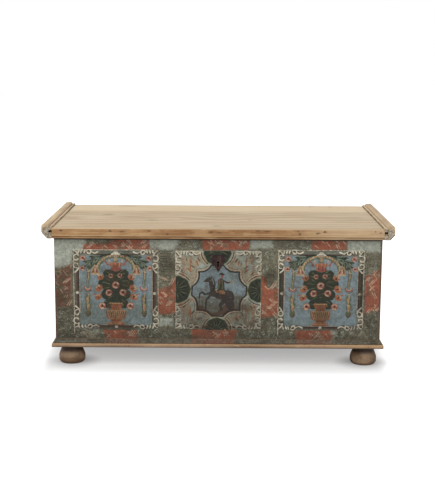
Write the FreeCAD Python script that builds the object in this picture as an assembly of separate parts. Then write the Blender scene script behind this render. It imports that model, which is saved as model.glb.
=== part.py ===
import FreeCAD, Part
import math
import os

# A low pine storage chest of the painted country kind: six dovetailed and nailed boards on four
# turned bun feet, a moulded plinth, and a planked lid with moulded end cleats that swings on two
# forged strap hinges. A forged lock with a sliding bolt sits behind the front board, and a small
# open till is housed at the left end. All sizes are millimetres. X runs along the front, Y from
# front to back, Z up. The origin is on the floor, under the middle of the whole chest.

# Carcass boards.
carcass_width = 1232.0
carcass_depth = 630.0
board_height = 414.0
front_thickness = 24.0
back_thickness = 22.0
end_thickness = 24.0
bottom_thickness = 20.0
bottom_plank_count = 3
bottom_plank_gap = 0.6

# Dovetails: the tails are on the front and back boards. Shares are of the pitch of the tails.
tail_count = 5
tail_root_share = 0.58
tail_tip_share = 0.72

# Plinth moulding round the front and both ends.
plinth_height = 32.0
plinth_projection = 14.5
plinth_strip_height = 15.5
plinth_strip_step = 2.5
plinth_nose_round = 2.5

# Turned bun feet.
foot_height = 72.0
foot_radius = 51.0
foot_base_radius = 40.0
foot_heel_height = 14.0
foot_belly_height = 26.0
foot_side_radius = 22.0
foot_neck_radius = 40.0
foot_neck_height = 14.0
foot_inset = 54.0
foot_tenon_radius = 14.0
foot_kerf_depth = 15.0
foot_kerf_mouth = 3.6
foot_kerf_floor = 1.2

# Lid planks and the moulding along their front edge.
lid_thickness = 28.0
lid_plank_count = 3
lid_plank_gap = 0.6
lid_side_gap = 3.0
lid_front_overhang = 30.0
lid_front_gap = 4.0
lip_drop = 13.0
nose_round = 9.0
fascia_height = 29.5
fascia_foot_round = 2.5
lip_quirk_height = 2.5
lip_quirk_depth = 5.0
lip_bead_bulge = 2.4

# Moulded cleats across the ends of the lid.
cleat_width = 41.0
cleat_rise = 11.5
cleat_drop = 13.0
cleat_bead_width = 10.0
cleat_bead_rise = 6.0
cleat_quirk_rise = 1.5
cleat_shoulder_drop = 6.0
cleat_flat_height = 7.5
cleat_foot_width = 14.0
cleat_crown_share = 0.60
tongue_thickness = 9.0
tongue_length = 13.0

# Forged strap hinges: a long strap under the lid, a short leaf on the outside of the back.
hinge_place_share = 0.65
strap_thickness = 3.5
strap_length = 395.0
strap_width = 42.0
strap_tip_width = 24.0
strap_finial_radius = 19.0
strap_point_length = 30.0
strap_notch_gap = 0.5
leaf_length = 150.0
leaf_tip_width = 26.0
knuckle_radius = 7.5
knuckle_gap = 0.4
knuckle_end_gap = 0.3
pin_radius = 3.8
pin_clearance = 0.08
pin_head_radius = 5.6
pin_head_height = 2.2

# Lock on the inside of the front board.
lock_plate_width = 190.0
lock_plate_height = 136.0
lock_plate_thickness = 2.5
lock_plate_drop = 6.0
lock_corner_radius = 20.0
bolt_drop = 56.0
bolt_height = 12.0
bolt_thickness = 6.0
bolt_length = 87.0
bolt_travel = 24.0
bolt_rest_gap = 3.5
bolt_standoff = 10.5
bolt_slide_gap = 0.3
bolt_arm_width = 8.0
bolt_arm_clearance = 3.0
bolt_talon_height = 10.0
bolt_talon_notch_width = 16.0
bolt_talon_notch_height = 6.0
keeper_width = 8.0
keeper_wall = 4.0
keeper_near_gap = 9.5
keeper_far_place = 58.0
lock_bridge_half_width = 36.0
lock_bridge_height = 24.0
lock_bridge_thickness = 2.5
lock_bridge_clearance = 2.5
lock_bridge_hole_radius = 3.6
spring_thickness = 1.2
spring_width = 5.0
spring_reach = 16.0
spring_rise = 5.0
spring_foot = 2.5
spring_post_width = 6.0
spring_place = 32.0

# Hasp that hangs from the lid into the lock.
hasp_plate_thickness = 3.0
hasp_plate_half_width = 26.0
hasp_plate_depth = 84.0
hasp_plate_front_gap = 3.0
tongue_plate_thickness = 5.0
tongue_front_gap = 4.5
tongue_plate_depth = 18.0
tongue_tail = 16.0
eye_side_wall = 4.5
eye_height = 14.0

# Keyhole and its escutcheon.
key_drop = 106.0
keyhole_radius = 5.2
keyhole_slot_width = 5.6
keyhole_slot_length = 19.0
escutcheon_thickness = 1.6
escutcheon_half_width = 24.0
escutcheon_rise = 30.0
escutcheon_fall = 34.0
escutcheon_corner = 8.0
escutcheon_neck_share = 0.56
escutcheon_shoulder_share = 0.38

# Open till at the left end.
till_inner_width = 165.0
till_inner_height = 125.0
till_board_thickness = 13.0
till_bottom_thickness = 11.0
till_top_drop = 24.0
till_housing_depth = 7.0

# Forged nails with pyramid heads.
nail_head_width = 11.0
nail_head_height = 2.6
nail_head_top_share = 0.3
nail_shank = 3.8
nail_tip_share = 0.45
small_nail_share = 0.55
board_nail_length = 44.0
strap_nail_length = 21.0
plinth_nail_length = 30.0
lock_nail_length = 17.0

# Places of nails and hinges, as shares of the half width, length or height they follow.
moulding_nail_shares = (-0.945, -0.65, -0.42, 0.09, 0.48, 0.64, 0.945)
moulding_nail_drop = 9.0
cleat_nail_shares = (0.12, 0.38, 0.64, 0.90)
strap_nail_shares = (0.09, 0.27, 0.45, 0.63, 0.80)
leaf_nail_shares = (0.24, 0.50, 0.76)
plinth_front_nail_shares = (-0.93, -0.55, -0.18, 0.20, 0.57, 0.93)
plinth_end_nail_shares = (0.08, 0.50, 0.92)
bottom_nail_shares = (-0.78, -0.46, -0.15, 0.15, 0.46, 0.78)
bottom_end_nail_shares = (0.26, 0.40, 0.60, 0.74)
hasp_nail_shares = (0.52, 0.86)
hasp_nail_side_share = 0.62
lock_nail_side_share = 0.86
lock_nail_end_share = 0.84
escutcheon_nail_side_share = 0.66
escutcheon_nail_rise_share = 0.60

# A cut runs past the face that it breaks through by this much.
overrun = 2.0

# Levels, worked out from the sizes above.
plinth_bottom = foot_height
board_bottom = plinth_bottom + bottom_thickness
rim = board_bottom + board_height
lid_top = rim + lid_thickness
hinge_axis_z = rim - knuckle_radius
bolt_z = rim - bolt_drop
key_z = rim - key_drop

# Places along Y: the chest is centred over its whole depth, nose of the lid to back of the knuckles.
whole_depth = lid_front_overhang + carcass_depth + knuckle_gap + 2 * knuckle_radius
nose_y = -whole_depth / 2
front_y = nose_y + lid_front_overhang
front_inner_y = front_y + front_thickness
back_y = front_y + carcass_depth
back_inner_y = back_y - back_thickness
lid_planks_front_y = front_y - lid_front_gap
hinge_axis_y = back_y + knuckle_gap + knuckle_radius

# Places along X.
half_width = carcass_width / 2
end_inner_x = half_width - end_thickness
lid_half_width = half_width + lid_side_gap
hinge_x = hinge_place_share * half_width
till_side_x = -end_inner_x + till_inner_width

# Depths behind the front board, for the works of the lock.
lock_face_y = front_inner_y + lock_plate_thickness
bolt_y = lock_face_y + bolt_standoff
tongue_y = lock_face_y + tongue_front_gap
bolt_tip_x = tongue_plate_thickness / 2 + bolt_rest_gap
near_keeper_x = tongue_plate_thickness / 2 + keeper_near_gap
lock_bridge_y = bolt_y + bolt_thickness + lock_bridge_clearance

# An arc through this share of the way to the corner is a quarter circle between equal legs.
quarter_share = math.sqrt(2) - 1


def vec(x, y, z):
    return FreeCAD.Vector(x, y, z)


def block(x0, x1, y0, y1, z0, z1):
    """A box between two corners."""
    return Part.makeBox(x1 - x0, y1 - y0, z1 - z0, vec(x0, y0, z0))


def face(place, path):
    """A face from a closed path. An entry is a point, for a line to it, or a pair: the corner that
    an arc rounds and the point where the arc ends. place turns a flat point into one in space."""
    edges = []
    start = path[0]
    here = start
    for entry in path[1:] + [start]:
        if isinstance(entry[0], tuple):
            corner, end = entry
            half = ((here[0] + end[0]) / 2, (here[1] + end[1]) / 2)
            middle = tuple(h + quarter_share * (c - h) for h, c in zip(half, corner))
            edges.append(Part.Arc(place(*here), place(*middle), place(*end)).toShape())
            here = end
        elif entry != here:
            edges.append(Part.LineSegment(place(*here), place(*entry)).toShape())
            here = entry
    return Part.Face(Part.Wire(edges))


def front_plane(y):
    return lambda x, z: vec(x, y, z)


def side_plane(x):
    return lambda y, z: vec(x, y, z)


def floor_plane(z):
    return lambda x, y: vec(x, y, z)


def fuse(shapes):
    whole = shapes[0]
    for other in shapes[1:]:
        whole = whole.fuse(other)
    return whole.removeSplitter()


def mirrored(shape):
    """The same piece for the other end of the chest."""
    return shape.mirror(vec(0, 0, 0), vec(1, 0, 0))


def cut_all(shape, tools):
    """The shape less those of the tools that reach it."""
    near = [t for t in tools if shape.BoundBox.intersect(t.BoundBox)]
    return shape.cut(Part.makeCompound(near)) if near else shape


def frustum(y0, y1, half0, half1):
    """A square frustum along Y: half0 is half its width at y0, and half1 at y1."""
    return Part.makeWedge(-half0, y0, -half0, -half1, -half1, half0, y1, half0, half1, half1)


def nail(seat, outward, length, size_share=1.0, flush=False):
    """A forged nail: a tapered square shank and a low pyramid head. The head is seated on a face at
    seat, or where it is flush it is let into the wood up to its top."""
    head = nail_head_width * size_share
    shank = nail_shank * size_share
    if flush:
        seat = seat - outward * nail_head_height * size_share
    top = frustum(0, nail_head_height * size_share, head / 2, head * nail_head_top_share / 2)
    stem = frustum(-length, 0, shank * nail_tip_share / 2, shank / 2)
    made = top.fuse(stem)
    made.Placement = FreeCAD.Placement(seat, FreeCAD.Rotation(vec(0, 1, 0), outward))
    return made


# Carcass.


def tail_sockets(outer_y, thickness):
    """The gaps between the tails of a board, where the pins of the end board go, at the right end."""
    pitch = board_height / tail_count
    root_gap = pitch * (1 - tail_root_share) / 2
    tip_gap = pitch * (1 - tail_tip_share) / 2
    gaps = []
    for i in range(tail_count + 1):
        z = board_bottom + i * pitch
        path = [
            (end_inner_x, z - root_gap),
            (half_width, z - tip_gap),
            (half_width, z + tip_gap),
            (end_inner_x, z + root_gap),
        ]
        gaps.append(face(front_plane(outer_y), path).extrude(vec(0, thickness, 0)))
    return gaps


def tailed_board(y0, thickness):
    """A long board with tails cut on both ends."""
    board = block(-half_width, half_width, y0, y0 + thickness, board_bottom, rim)
    sockets = tail_sockets(y0, thickness)
    board = cut_all(board, sockets)
    return cut_all(board, [mirrored(s) for s in sockets])


def keyhole(y0, depth):
    """Round above, with a slot below for the bit of the key."""
    hole = Part.makeCylinder(keyhole_radius, depth, vec(0, y0, key_z), vec(0, 1, 0))
    half = keyhole_slot_width / 2
    return hole.fuse(block(-half, half, y0, y0 + depth, key_z - keyhole_slot_length, key_z))


def till_side():
    """The upright board of the till, housed in the front and back boards."""
    return block(
        till_side_x,
        till_side_x + till_board_thickness,
        front_inner_y - till_housing_depth,
        back_inner_y + till_housing_depth,
        rim - till_top_drop - till_inner_height - till_bottom_thickness,
        rim - till_top_drop,
    )


def till_bottom():
    """The floor of the till, housed in the front and back boards, and in the left board between the
    dovetails."""
    low = rim - till_top_drop - till_inner_height - till_bottom_thickness
    top = low + till_bottom_thickness
    floor = block(
        -end_inner_x, till_side_x, front_inner_y - till_housing_depth, back_inner_y + till_housing_depth,
        low, top,
    )
    left_edge = block(
        -end_inner_x - till_housing_depth, till_side_x,
        front_inner_y + till_housing_depth, back_inner_y - till_housing_depth, low, top,
    )
    return fuse([floor, left_edge])


def hinge_notch():
    """The notch in the top of the back board that the strap of a hinge lies in."""
    half = strap_width / 2 + strap_notch_gap
    return block(
        hinge_x - half, hinge_x + half, back_inner_y - overrun, back_y + overrun,
        rim - strap_thickness - strap_notch_gap, rim + overrun,
    )


def front_board():
    board = tailed_board(front_y, front_thickness)
    board = board.cut(keyhole(front_y - overrun, front_thickness + 2 * overrun))
    return board.cut(till_side()).cut(till_bottom())


def back_board():
    board = tailed_board(back_inner_y, back_thickness)
    notch = hinge_notch()
    board = cut_all(board, [notch, mirrored(notch)])
    return board.cut(till_side()).cut(till_bottom())


def end_board():
    """The right end board: a plain board less the tails of the front and back boards."""
    board = block(end_inner_x, half_width, front_y, back_y, board_bottom, rim)
    return board.cut(tailed_board(front_y, front_thickness)).cut(tailed_board(back_inner_y, back_thickness))


def foot_places():
    """The row of each foot, and its centre."""
    x = half_width - foot_inset
    rows = (("front", front_y + foot_inset), ("rear", back_y - foot_inset))
    return [(row, side * x, y) for row, y in rows for side in (-1, 1)]


def tenon_hole(x, y):
    return Part.makeCylinder(foot_tenon_radius, bottom_thickness, vec(x, y, plinth_bottom), vec(0, 0, 1))


def bottom_planks():
    """Planks along the length under the carcass, bored for the tenons of the feet."""
    pitch = carcass_depth / bottom_plank_count
    planks = []
    for i in range(bottom_plank_count):
        y0 = front_y + i * pitch + (bottom_plank_gap / 2 if i else 0)
        last = i == bottom_plank_count - 1
        y1 = front_y + (i + 1) * pitch - (0 if last else bottom_plank_gap / 2)
        plank = block(-half_width, half_width, y0, y1, plinth_bottom, board_bottom)
        planks.append(cut_all(plank, [tenon_hole(x, y) for _, x, y in foot_places()]))
    return planks


def bottom_nails():
    """Nails up through the bottom planks into the lower edges of the four boards."""
    long_rows = [
        (s * half_width, y)
        for y in (front_y + front_thickness / 2, back_y - back_thickness / 2) for s in bottom_nail_shares
    ]
    end_rows = [
        (side * (half_width - end_thickness / 2), front_y + s * carcass_depth)
        for side in (-1, 1) for s in bottom_end_nail_shares
    ]
    return [
        nail(vec(x, y, plinth_bottom), vec(0, 0, -1), board_nail_length, flush=True)
        for x, y in long_rows + end_rows
    ]


def plinth_section(place):
    """A strip with a soft nose, and a hollow above it that runs up to the board. The first
    coordinate is the distance out from the face of the board."""
    strip_top = plinth_bottom + plinth_strip_height
    inner = plinth_projection - plinth_nose_round
    ledge = plinth_projection - plinth_strip_step
    top = plinth_bottom + plinth_height
    path = [
        (0, plinth_bottom),
        (inner, plinth_bottom),
        ((plinth_projection, plinth_bottom), (plinth_projection, plinth_bottom + plinth_nose_round)),
        (plinth_projection, strip_top - plinth_nose_round),
        ((plinth_projection, strip_top), (inner, strip_top)),
        (ledge, strip_top),
        ((plinth_strip_step, strip_top + plinth_strip_step), (plinth_strip_step, top)),
        (0, top),
    ]
    return face(place, path)


def plinth_front():
    section = plinth_section(lambda out, z: vec(-half_width - plinth_projection, front_y - out, z))
    run = section.extrude(vec(carcass_width + 2 * plinth_projection, 0, 0))
    far = half_width + plinth_projection
    plan = face(floor_plane(plinth_bottom), [
        (-half_width, front_y), (half_width, front_y),
        (far, front_y - plinth_projection), (-far, front_y - plinth_projection),
    ])
    return run.common(plan.extrude(vec(0, 0, plinth_height)))


def plinth_end():
    """The right end of the plinth, mitred at the front and square at the back."""
    section = plinth_section(lambda out, z: vec(half_width + out, front_y - plinth_projection, z))
    run = section.extrude(vec(0, carcass_depth + plinth_projection, 0))
    far = half_width + plinth_projection
    plan = face(floor_plane(plinth_bottom), [
        (half_width, front_y), (far, front_y - plinth_projection), (far, back_y), (half_width, back_y),
    ])
    return run.common(plan.extrude(vec(0, 0, plinth_height)))


def plinth_nails():
    """Small nails through the strip into the edges of the bottom planks."""
    z = plinth_bottom + plinth_strip_height / 2
    made = [
        nail(vec(s * half_width, front_y - plinth_projection, z), vec(0, -1, 0), plinth_nail_length,
             small_nail_share, flush=True)
        for s in plinth_front_nail_shares
    ]
    for side in (-1, 1):
        for s in plinth_end_nail_shares:
            seat = vec(side * (half_width + plinth_projection), front_y + s * carcass_depth, z)
            made.append(nail(seat, vec(side, 0, 0), plinth_nail_length, small_nail_share, flush=True))
    return made


# Feet.


def turned_foot():
    """A bun foot at the origin, turned from its half section, with a slit tenon for a wedge. A round
    heel, an upright cheek, a round shoulder and the straight slope to the neck are each tangent to the
    one before, and are one smooth curve."""
    shoulder = foot_height - foot_neck_height
    tenon_top = foot_height + bottom_thickness
    overhang = foot_radius - foot_base_radius
    heel_radius = (overhang ** 2 + foot_heel_height ** 2) / (2 * overhang)
    heel_half = math.asin(foot_heel_height / heel_radius) / 2
    heel_middle = (
        foot_radius - heel_radius * (1 - math.cos(heel_half)),
        foot_heel_height - heel_radius * math.sin(heel_half),
    )
    centre = foot_radius - foot_side_radius
    rise = shoulder - foot_belly_height
    inset = foot_neck_radius - centre
    lean = math.atan2(rise, inset) - math.acos(foot_side_radius / math.hypot(rise, inset))
    turn = [
        vec(centre + foot_side_radius * math.cos(a), 0, foot_belly_height + foot_side_radius * math.sin(a))
        for a in (0, lean / 2, lean)
    ]
    cheek_foot = vec(foot_radius, 0, foot_heel_height)
    heel = Part.Arc(vec(foot_base_radius, 0, 0), vec(heel_middle[0], 0, heel_middle[1]), cheek_foot)
    turned_side = heel.toBSpline()
    turned_side.join(Part.LineSegment(cheek_foot, turn[0]).toBSpline())
    turned_side.join(Part.Arc(*turn).toBSpline())
    turned_side.join(Part.LineSegment(turn[-1], vec(foot_neck_radius, 0, shoulder)).toBSpline())
    corners = [
        (foot_neck_radius, shoulder), (foot_neck_radius, foot_height),
        (foot_tenon_radius, foot_height), (foot_tenon_radius, tenon_top), (0, tenon_top), (0, 0),
        (foot_base_radius, 0),
    ]
    edges = [turned_side.toShape()]
    for a, b in zip(corners, corners[1:]):
        edges.append(Part.LineSegment(vec(a[0], 0, a[1]), vec(b[0], 0, b[1])).toShape())
    bun = Part.Face(Part.Wire(edges)).revolve(vec(0, 0, 0), vec(0, 0, 1), 360)
    return bun.cut(foot_wedge())


def foot_wedge():
    """The wedge that spreads the tenon, as long as the tenon is wide."""
    top = foot_height + bottom_thickness
    low = top - foot_kerf_depth
    mouth = foot_kerf_mouth / 2
    floor = foot_kerf_floor / 2
    path = [(-floor, low), (floor, low), (mouth, top), (-mouth, top)]
    slab = face(side_plane(-foot_tenon_radius), path).extrude(vec(2 * foot_tenon_radius, 0, 0))
    return slab.common(Part.makeCylinder(foot_tenon_radius, foot_kerf_depth, vec(0, 0, low), vec(0, 0, 1)))


# Lid.


def lid_planks():
    """Planks along the length of the lid, with a tongue on each end for the cleats."""
    depth = back_y - lid_planks_front_y
    pitch = depth / lid_plank_count
    mid = rim + lid_thickness / 2
    planks = []
    for i in range(lid_plank_count):
        y0 = lid_planks_front_y + i * pitch + (lid_plank_gap / 2 if i else 0)
        last = i == lid_plank_count - 1
        y1 = lid_planks_front_y + (i + 1) * pitch - (0 if last else lid_plank_gap / 2)
        reach = lid_half_width + tongue_length
        tongue = block(-reach, reach, y0, y1, mid - tongue_thickness / 2, mid + tongue_thickness / 2)
        planks.append(fuse([block(-lid_half_width, lid_half_width, y0, y1, rim, lid_top), tongue]))
    return planks


def lid_moulding():
    """The moulded strip along the front edge: a soft nose, a flat fascia, a quirk, and a small
    rounded lip that hangs in front of the front board."""
    low = rim - lip_drop
    fascia_foot = lid_top - fascia_height
    quirk_top = fascia_foot - fascia_foot_round
    bead_top = quirk_top - lip_quirk_height
    quirk_y = nose_y + lip_quirk_depth
    bead_y = quirk_y - lip_bead_bulge
    bead_mid = (bead_top + low) / 2
    path = [
        (lid_planks_front_y, low),
        (lid_planks_front_y, lid_top),
        (nose_y + nose_round, lid_top),
        ((nose_y, lid_top), (nose_y, lid_top - nose_round)),
        (nose_y, fascia_foot),
        ((nose_y, quirk_top), (nose_y + fascia_foot_round, quirk_top)),
        (quirk_y, quirk_top),
        (quirk_y, bead_top),
        ((bead_y, bead_top), (bead_y, bead_mid)),
        ((bead_y, low), (quirk_y, low)),
    ]
    return face(side_plane(-lid_half_width), path).extrude(vec(2 * lid_half_width, 0, 0))


def lid_cleat():
    """The right cleat, one moulded length from the nose of the lid to its back edge. From the lid
    outwards: a bead, a quirk, and a broad round that turns over the edge and in again below."""
    inner = lid_half_width
    outer = inner + cleat_width
    low = rim - cleat_drop
    quirk = lid_top + cleat_quirk_rise
    bead_top = lid_top + cleat_bead_rise
    bead_half = cleat_bead_width / 2
    crown = lid_top + cleat_rise
    crown_x = inner + cleat_width * cleat_crown_share
    shoulder = lid_top - cleat_shoulder_drop
    hip = shoulder - cleat_flat_height
    path = [
        (inner, low),
        (inner, quirk),
        ((inner, bead_top), (inner + bead_half, bead_top)),
        ((inner + 2 * bead_half, bead_top), (inner + 2 * bead_half, quirk)),
        ((inner + 2 * bead_half, crown), (crown_x, crown)),
        ((outer, crown), (outer, shoulder)),
        (outer, hip),
        ((outer, low), (inner + cleat_foot_width, low)),
    ]
    bar = face(front_plane(nose_y), path).extrude(vec(0, back_y - nose_y, 0))
    mid = rim + lid_thickness / 2
    groove = block(
        inner - overrun, inner + tongue_length, nose_y - overrun, back_y + overrun,
        mid - tongue_thickness / 2, mid + tongue_thickness / 2,
    )
    return bar.cut(groove)


def moulding_nails():
    """Nails through the fascia into the front plank."""
    z = lid_top - moulding_nail_drop
    return [
        nail(vec(s * lid_half_width, nose_y, z), vec(0, -1, 0), board_nail_length, small_nail_share,
             flush=True)
        for s in moulding_nail_shares
    ]


def cleat_nails():
    """Nails through each cleat into the ends of the planks."""
    z = lid_top - cleat_shoulder_drop - cleat_flat_height / 2
    depth = back_y - lid_planks_front_y
    made = []
    for side in (-1, 1):
        for s in cleat_nail_shares:
            seat = vec(side * (lid_half_width + cleat_width), lid_planks_front_y + s * depth, z)
            length = cleat_width + board_nail_length / 2
            made.append(nail(seat, vec(side, 0, 0), length, small_nail_share, flush=True))
    return made


# Hinges.


def knuckle(x0, x1):
    """One ring of a hinge barrel, without its bore."""
    return Part.makeCylinder(knuckle_radius, x1 - x0, vec(x0, hinge_axis_y, hinge_axis_z), vec(1, 0, 0))


def barrel_bore():
    long = strap_width + 2 * overrun
    return Part.makeCylinder(
        pin_radius + pin_clearance, long, vec(hinge_x - long / 2, hinge_axis_y, hinge_axis_z), vec(1, 0, 0)
    )


def hinge_strap():
    """The right strap: it narrows towards the front, swells into a disc and ends in a point. At the
    back a tab runs out to the middle ring of the barrel."""
    low = rim - strap_thickness
    back = back_y - knuckle_gap
    tip = back - strap_length
    neck = tip + strap_point_length + strap_finial_radius
    wide = strap_width / 2
    narrow = strap_tip_width / 2
    body = face(floor_plane(low), [
        (hinge_x - wide, back), (hinge_x + wide, back), (hinge_x + narrow, neck), (hinge_x - narrow, neck),
    ])
    point = face(floor_plane(low), [
        (hinge_x - strap_finial_radius, neck),
        (hinge_x + strap_finial_radius, neck),
        ((hinge_x + narrow, tip + strap_point_length), (hinge_x, tip)),
        ((hinge_x - narrow, tip + strap_point_length), (hinge_x - strap_finial_radius, neck)),
    ])
    up = vec(0, 0, strap_thickness)
    disc = Part.makeCylinder(strap_finial_radius, strap_thickness, vec(hinge_x, neck, low), vec(0, 0, 1))
    third = strap_width / 3
    tab_half = third / 2 - knuckle_end_gap
    tab = block(hinge_x - tab_half, hinge_x + tab_half, back - overrun, hinge_axis_y, low, rim)
    ring = knuckle(hinge_x - tab_half, hinge_x + tab_half)
    whole = fuse([body.extrude(up), point.extrude(up), disc, tab, ring])
    return whole.cut(barrel_bore())


def hinge_leaf():
    """The right leaf on the outside of the back board, with the two outer rings of the barrel."""
    top = hinge_axis_z + pin_radius / 2
    shoulder = hinge_axis_z - knuckle_radius - knuckle_gap
    low = hinge_axis_z - leaf_length
    wide = strap_width / 2
    narrow = leaf_tip_width / 2
    plate = face(front_plane(back_y), [
        (hinge_x - wide, top),
        (hinge_x + wide, top),
        (hinge_x + wide, shoulder),
        (hinge_x + narrow, low + narrow),
        ((hinge_x + narrow, low), (hinge_x, low)),
        ((hinge_x - narrow, low), (hinge_x - narrow, low + narrow)),
        (hinge_x - wide, shoulder),
    ]).extrude(vec(0, strap_thickness, 0))
    third = strap_width / 3
    rings = [
        knuckle(hinge_x - wide, hinge_x - third / 2),
        knuckle(hinge_x + third / 2, hinge_x + wide),
    ]
    gap = block(
        hinge_x - third / 2, hinge_x + third / 2, back_y - overrun, back_y + strap_thickness + overrun,
        shoulder, top + overrun,
    )
    return fuse([plate.cut(gap)] + rings).cut(barrel_bore())


def hinge_pin():
    """The right pin, with a riveted head on each end."""
    half = strap_width / 2 + knuckle_end_gap
    start = vec(hinge_x - half, hinge_axis_y, hinge_axis_z)
    rod = Part.makeCylinder(pin_radius, 2 * half, start, vec(1, 0, 0))
    heads = [
        Part.makeCylinder(pin_head_radius, pin_head_height, vec(x, hinge_axis_y, hinge_axis_z), vec(1, 0, 0))
        for x in (hinge_x - half - pin_head_height, hinge_x + half)
    ]
    return fuse([rod] + heads)


def strap_nails():
    """Nails up through the straps into the lid, for both hinges."""
    back = back_y - knuckle_gap
    return [
        nail(vec(side * hinge_x, back - s * strap_length, rim - strap_thickness), vec(0, 0, -1),
             strap_nail_length)
        for side in (-1, 1) for s in strap_nail_shares
    ]


def leaf_nails():
    """Nails through the leaves into the back board, for both hinges."""
    return [
        nail(vec(side * hinge_x, back_y + strap_thickness, hinge_axis_z - s * leaf_length), vec(0, 1, 0),
             strap_nail_length)
        for side in (-1, 1) for s in leaf_nail_shares
    ]


# Lock.


def lock_plate():
    """A plate with hollow corners, pierced by the keyhole."""
    half = lock_plate_width / 2
    top = rim - lock_plate_drop
    low = top - lock_plate_height
    r = lock_corner_radius
    plate = face(front_plane(front_inner_y), [
        (half - r, low), ((half - r, low + r), (half, low + r)),
        (half, top - r), ((half - r, top - r), (half - r, top)),
        (r - half, top), ((r - half, top - r), (-half, top - r)),
        (-half, low + r), ((r - half, low + r), (r - half, low)),
    ]).extrude(vec(0, lock_plate_thickness, 0))
    return plate.cut(keyhole(front_inner_y - overrun, lock_plate_thickness + 2 * overrun))


def lock_bolt():
    """The bolt, drawn back: a bar that passes the eye of the hasp, and an arm down to the talon that
    the key catches."""
    y0 = bolt_y
    y1 = bolt_y + bolt_thickness
    half = bolt_height / 2
    bar = block(bolt_tip_x, bolt_tip_x + bolt_length, y0, y1, bolt_z - half, bolt_z + half)
    arm_x = near_keeper_x + keeper_width + bolt_travel + bolt_arm_clearance
    talon_low = bolt_z - half - tongue_tail - bolt_talon_height
    arm = block(arm_x, arm_x + bolt_arm_width, y0, y1, talon_low, bolt_z - half)
    notch_mid = bolt_travel / 2
    notch_half = bolt_talon_notch_width / 2
    talon = block(
        notch_mid - notch_half - bolt_arm_width, arm_x, y0, y1, talon_low, talon_low + bolt_talon_height
    )
    notch = block(
        notch_mid - notch_half, notch_mid + notch_half, y0, y1, talon_low,
        talon_low + bolt_talon_notch_height,
    )
    return fuse([bar, arm, talon.cut(notch)])


def keeper(x0):
    """A forged block that the bolt slides through."""
    half = bolt_height / 2 + bolt_slide_gap
    outer = half + keeper_wall
    y_far = bolt_y + bolt_thickness + bolt_slide_gap
    body = block(x0, x0 + keeper_width, lock_face_y, y_far + keeper_wall, bolt_z - outer, bolt_z + outer)
    way = block(x0, x0 + keeper_width, bolt_y - bolt_slide_gap, y_far, bolt_z - half, bolt_z + half)
    return body.cut(way)


def keepers():
    """Two blocks that guide the bolt, and one beyond the hasp that takes its tip."""
    return [keeper(near_keeper_x), keeper(keeper_far_place), keeper(-near_keeper_x - keeper_width)]


def lock_bridge():
    """A strap bent over the keyhole that carries the end of the key."""
    half = lock_bridge_half_width
    t = lock_bridge_thickness
    far = lock_bridge_y + t
    z0 = key_z - lock_bridge_height / 2
    z1 = key_z + lock_bridge_height / 2
    legs = [
        block(-half, t - half, lock_face_y, lock_bridge_y, z0, z1),
        block(half - t, half, lock_face_y, lock_bridge_y, z0, z1),
    ]
    span = block(-half, half, lock_bridge_y, far, z0, z1)
    hole = Part.makeCylinder(
        lock_bridge_hole_radius, t + 2 * overrun, vec(0, lock_bridge_y - overrun, key_z), vec(0, 1, 0)
    )
    return fuse([span] + legs).cut(hole)


def bolt_spring():
    """A bent leaf that bears on the top of the bolt, held by a post on the lock plate."""
    y0 = bolt_y + (bolt_thickness - spring_width) / 2
    rest = bolt_z + bolt_height / 2 + bolt_slide_gap
    post_x = spring_place + spring_reach
    high = rest + spring_rise
    leaf = face(front_plane(y0), [
        (spring_place - spring_reach / 2, high),
        (spring_place - spring_foot, rest),
        (spring_place + spring_foot, rest),
        (post_x, high),
        (post_x, high + spring_thickness),
        (spring_place + spring_foot, rest + spring_thickness),
        (spring_place - spring_foot, rest + spring_thickness),
        (spring_place - spring_reach / 2, high + spring_thickness),
    ]).extrude(vec(0, spring_width, 0))
    post = block(
        post_x, post_x + spring_post_width, lock_face_y, y0 + spring_width, high - spring_post_width / 2,
        high + spring_post_width / 2 + spring_thickness,
    )
    return fuse([leaf, post])


def hasp():
    """The plate under the lid with the tongue that hangs into the lock; the bolt goes through its eye."""
    top = rim
    plate_low = rim - hasp_plate_thickness
    front = lock_face_y + hasp_plate_front_gap
    plate = block(
        -hasp_plate_half_width, hasp_plate_half_width, front, front + hasp_plate_depth, plate_low, top
    )
    half = tongue_plate_thickness / 2
    y0 = tongue_y
    y1 = tongue_y + tongue_plate_depth
    tip = bolt_z - bolt_height / 2 - tongue_tail / 2 - hasp_plate_thickness
    radius = tongue_plate_depth / 2
    side = face(side_plane(-half), [
        (y0, plate_low), (y1, plate_low), (y1, tip + radius),
        ((y1, tip), (y0 + radius, tip)), ((y0, tip), (y0, tip + radius)),
    ]).extrude(vec(2 * half, 0, 0))
    eye = block(
        -half, half, y0 + eye_side_wall, y1 - eye_side_wall, bolt_z - eye_height / 2, bolt_z + eye_height / 2
    )
    return fuse([plate, side.cut(eye)])


def hasp_nails():
    """Nails up through the plate of the hasp into the lid."""
    front = lock_face_y + hasp_plate_front_gap
    return [
        nail(vec(side * hasp_nail_side_share * hasp_plate_half_width, front + s * hasp_plate_depth,
                 rim - hasp_plate_thickness), vec(0, 0, -1), strap_nail_length)
        for side in (-1, 1) for s in hasp_nail_shares
    ]


def lock_nails():
    """Nails near the corners of the lock plate."""
    middle = rim - lock_plate_drop - lock_plate_height / 2
    return [
        nail(vec(sx * a * lock_plate_width / 2, lock_face_y, middle + sz * b * lock_plate_height / 2),
             vec(0, 1, 0), lock_nail_length, small_nail_share)
        for sx in (-1, 1) for sz in (-1, 1)
        for a, b in ((lock_nail_side_share, 1 - lock_nail_side_share / 2),
                     (1 - lock_nail_end_share / 2, lock_nail_end_share))
    ]


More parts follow.
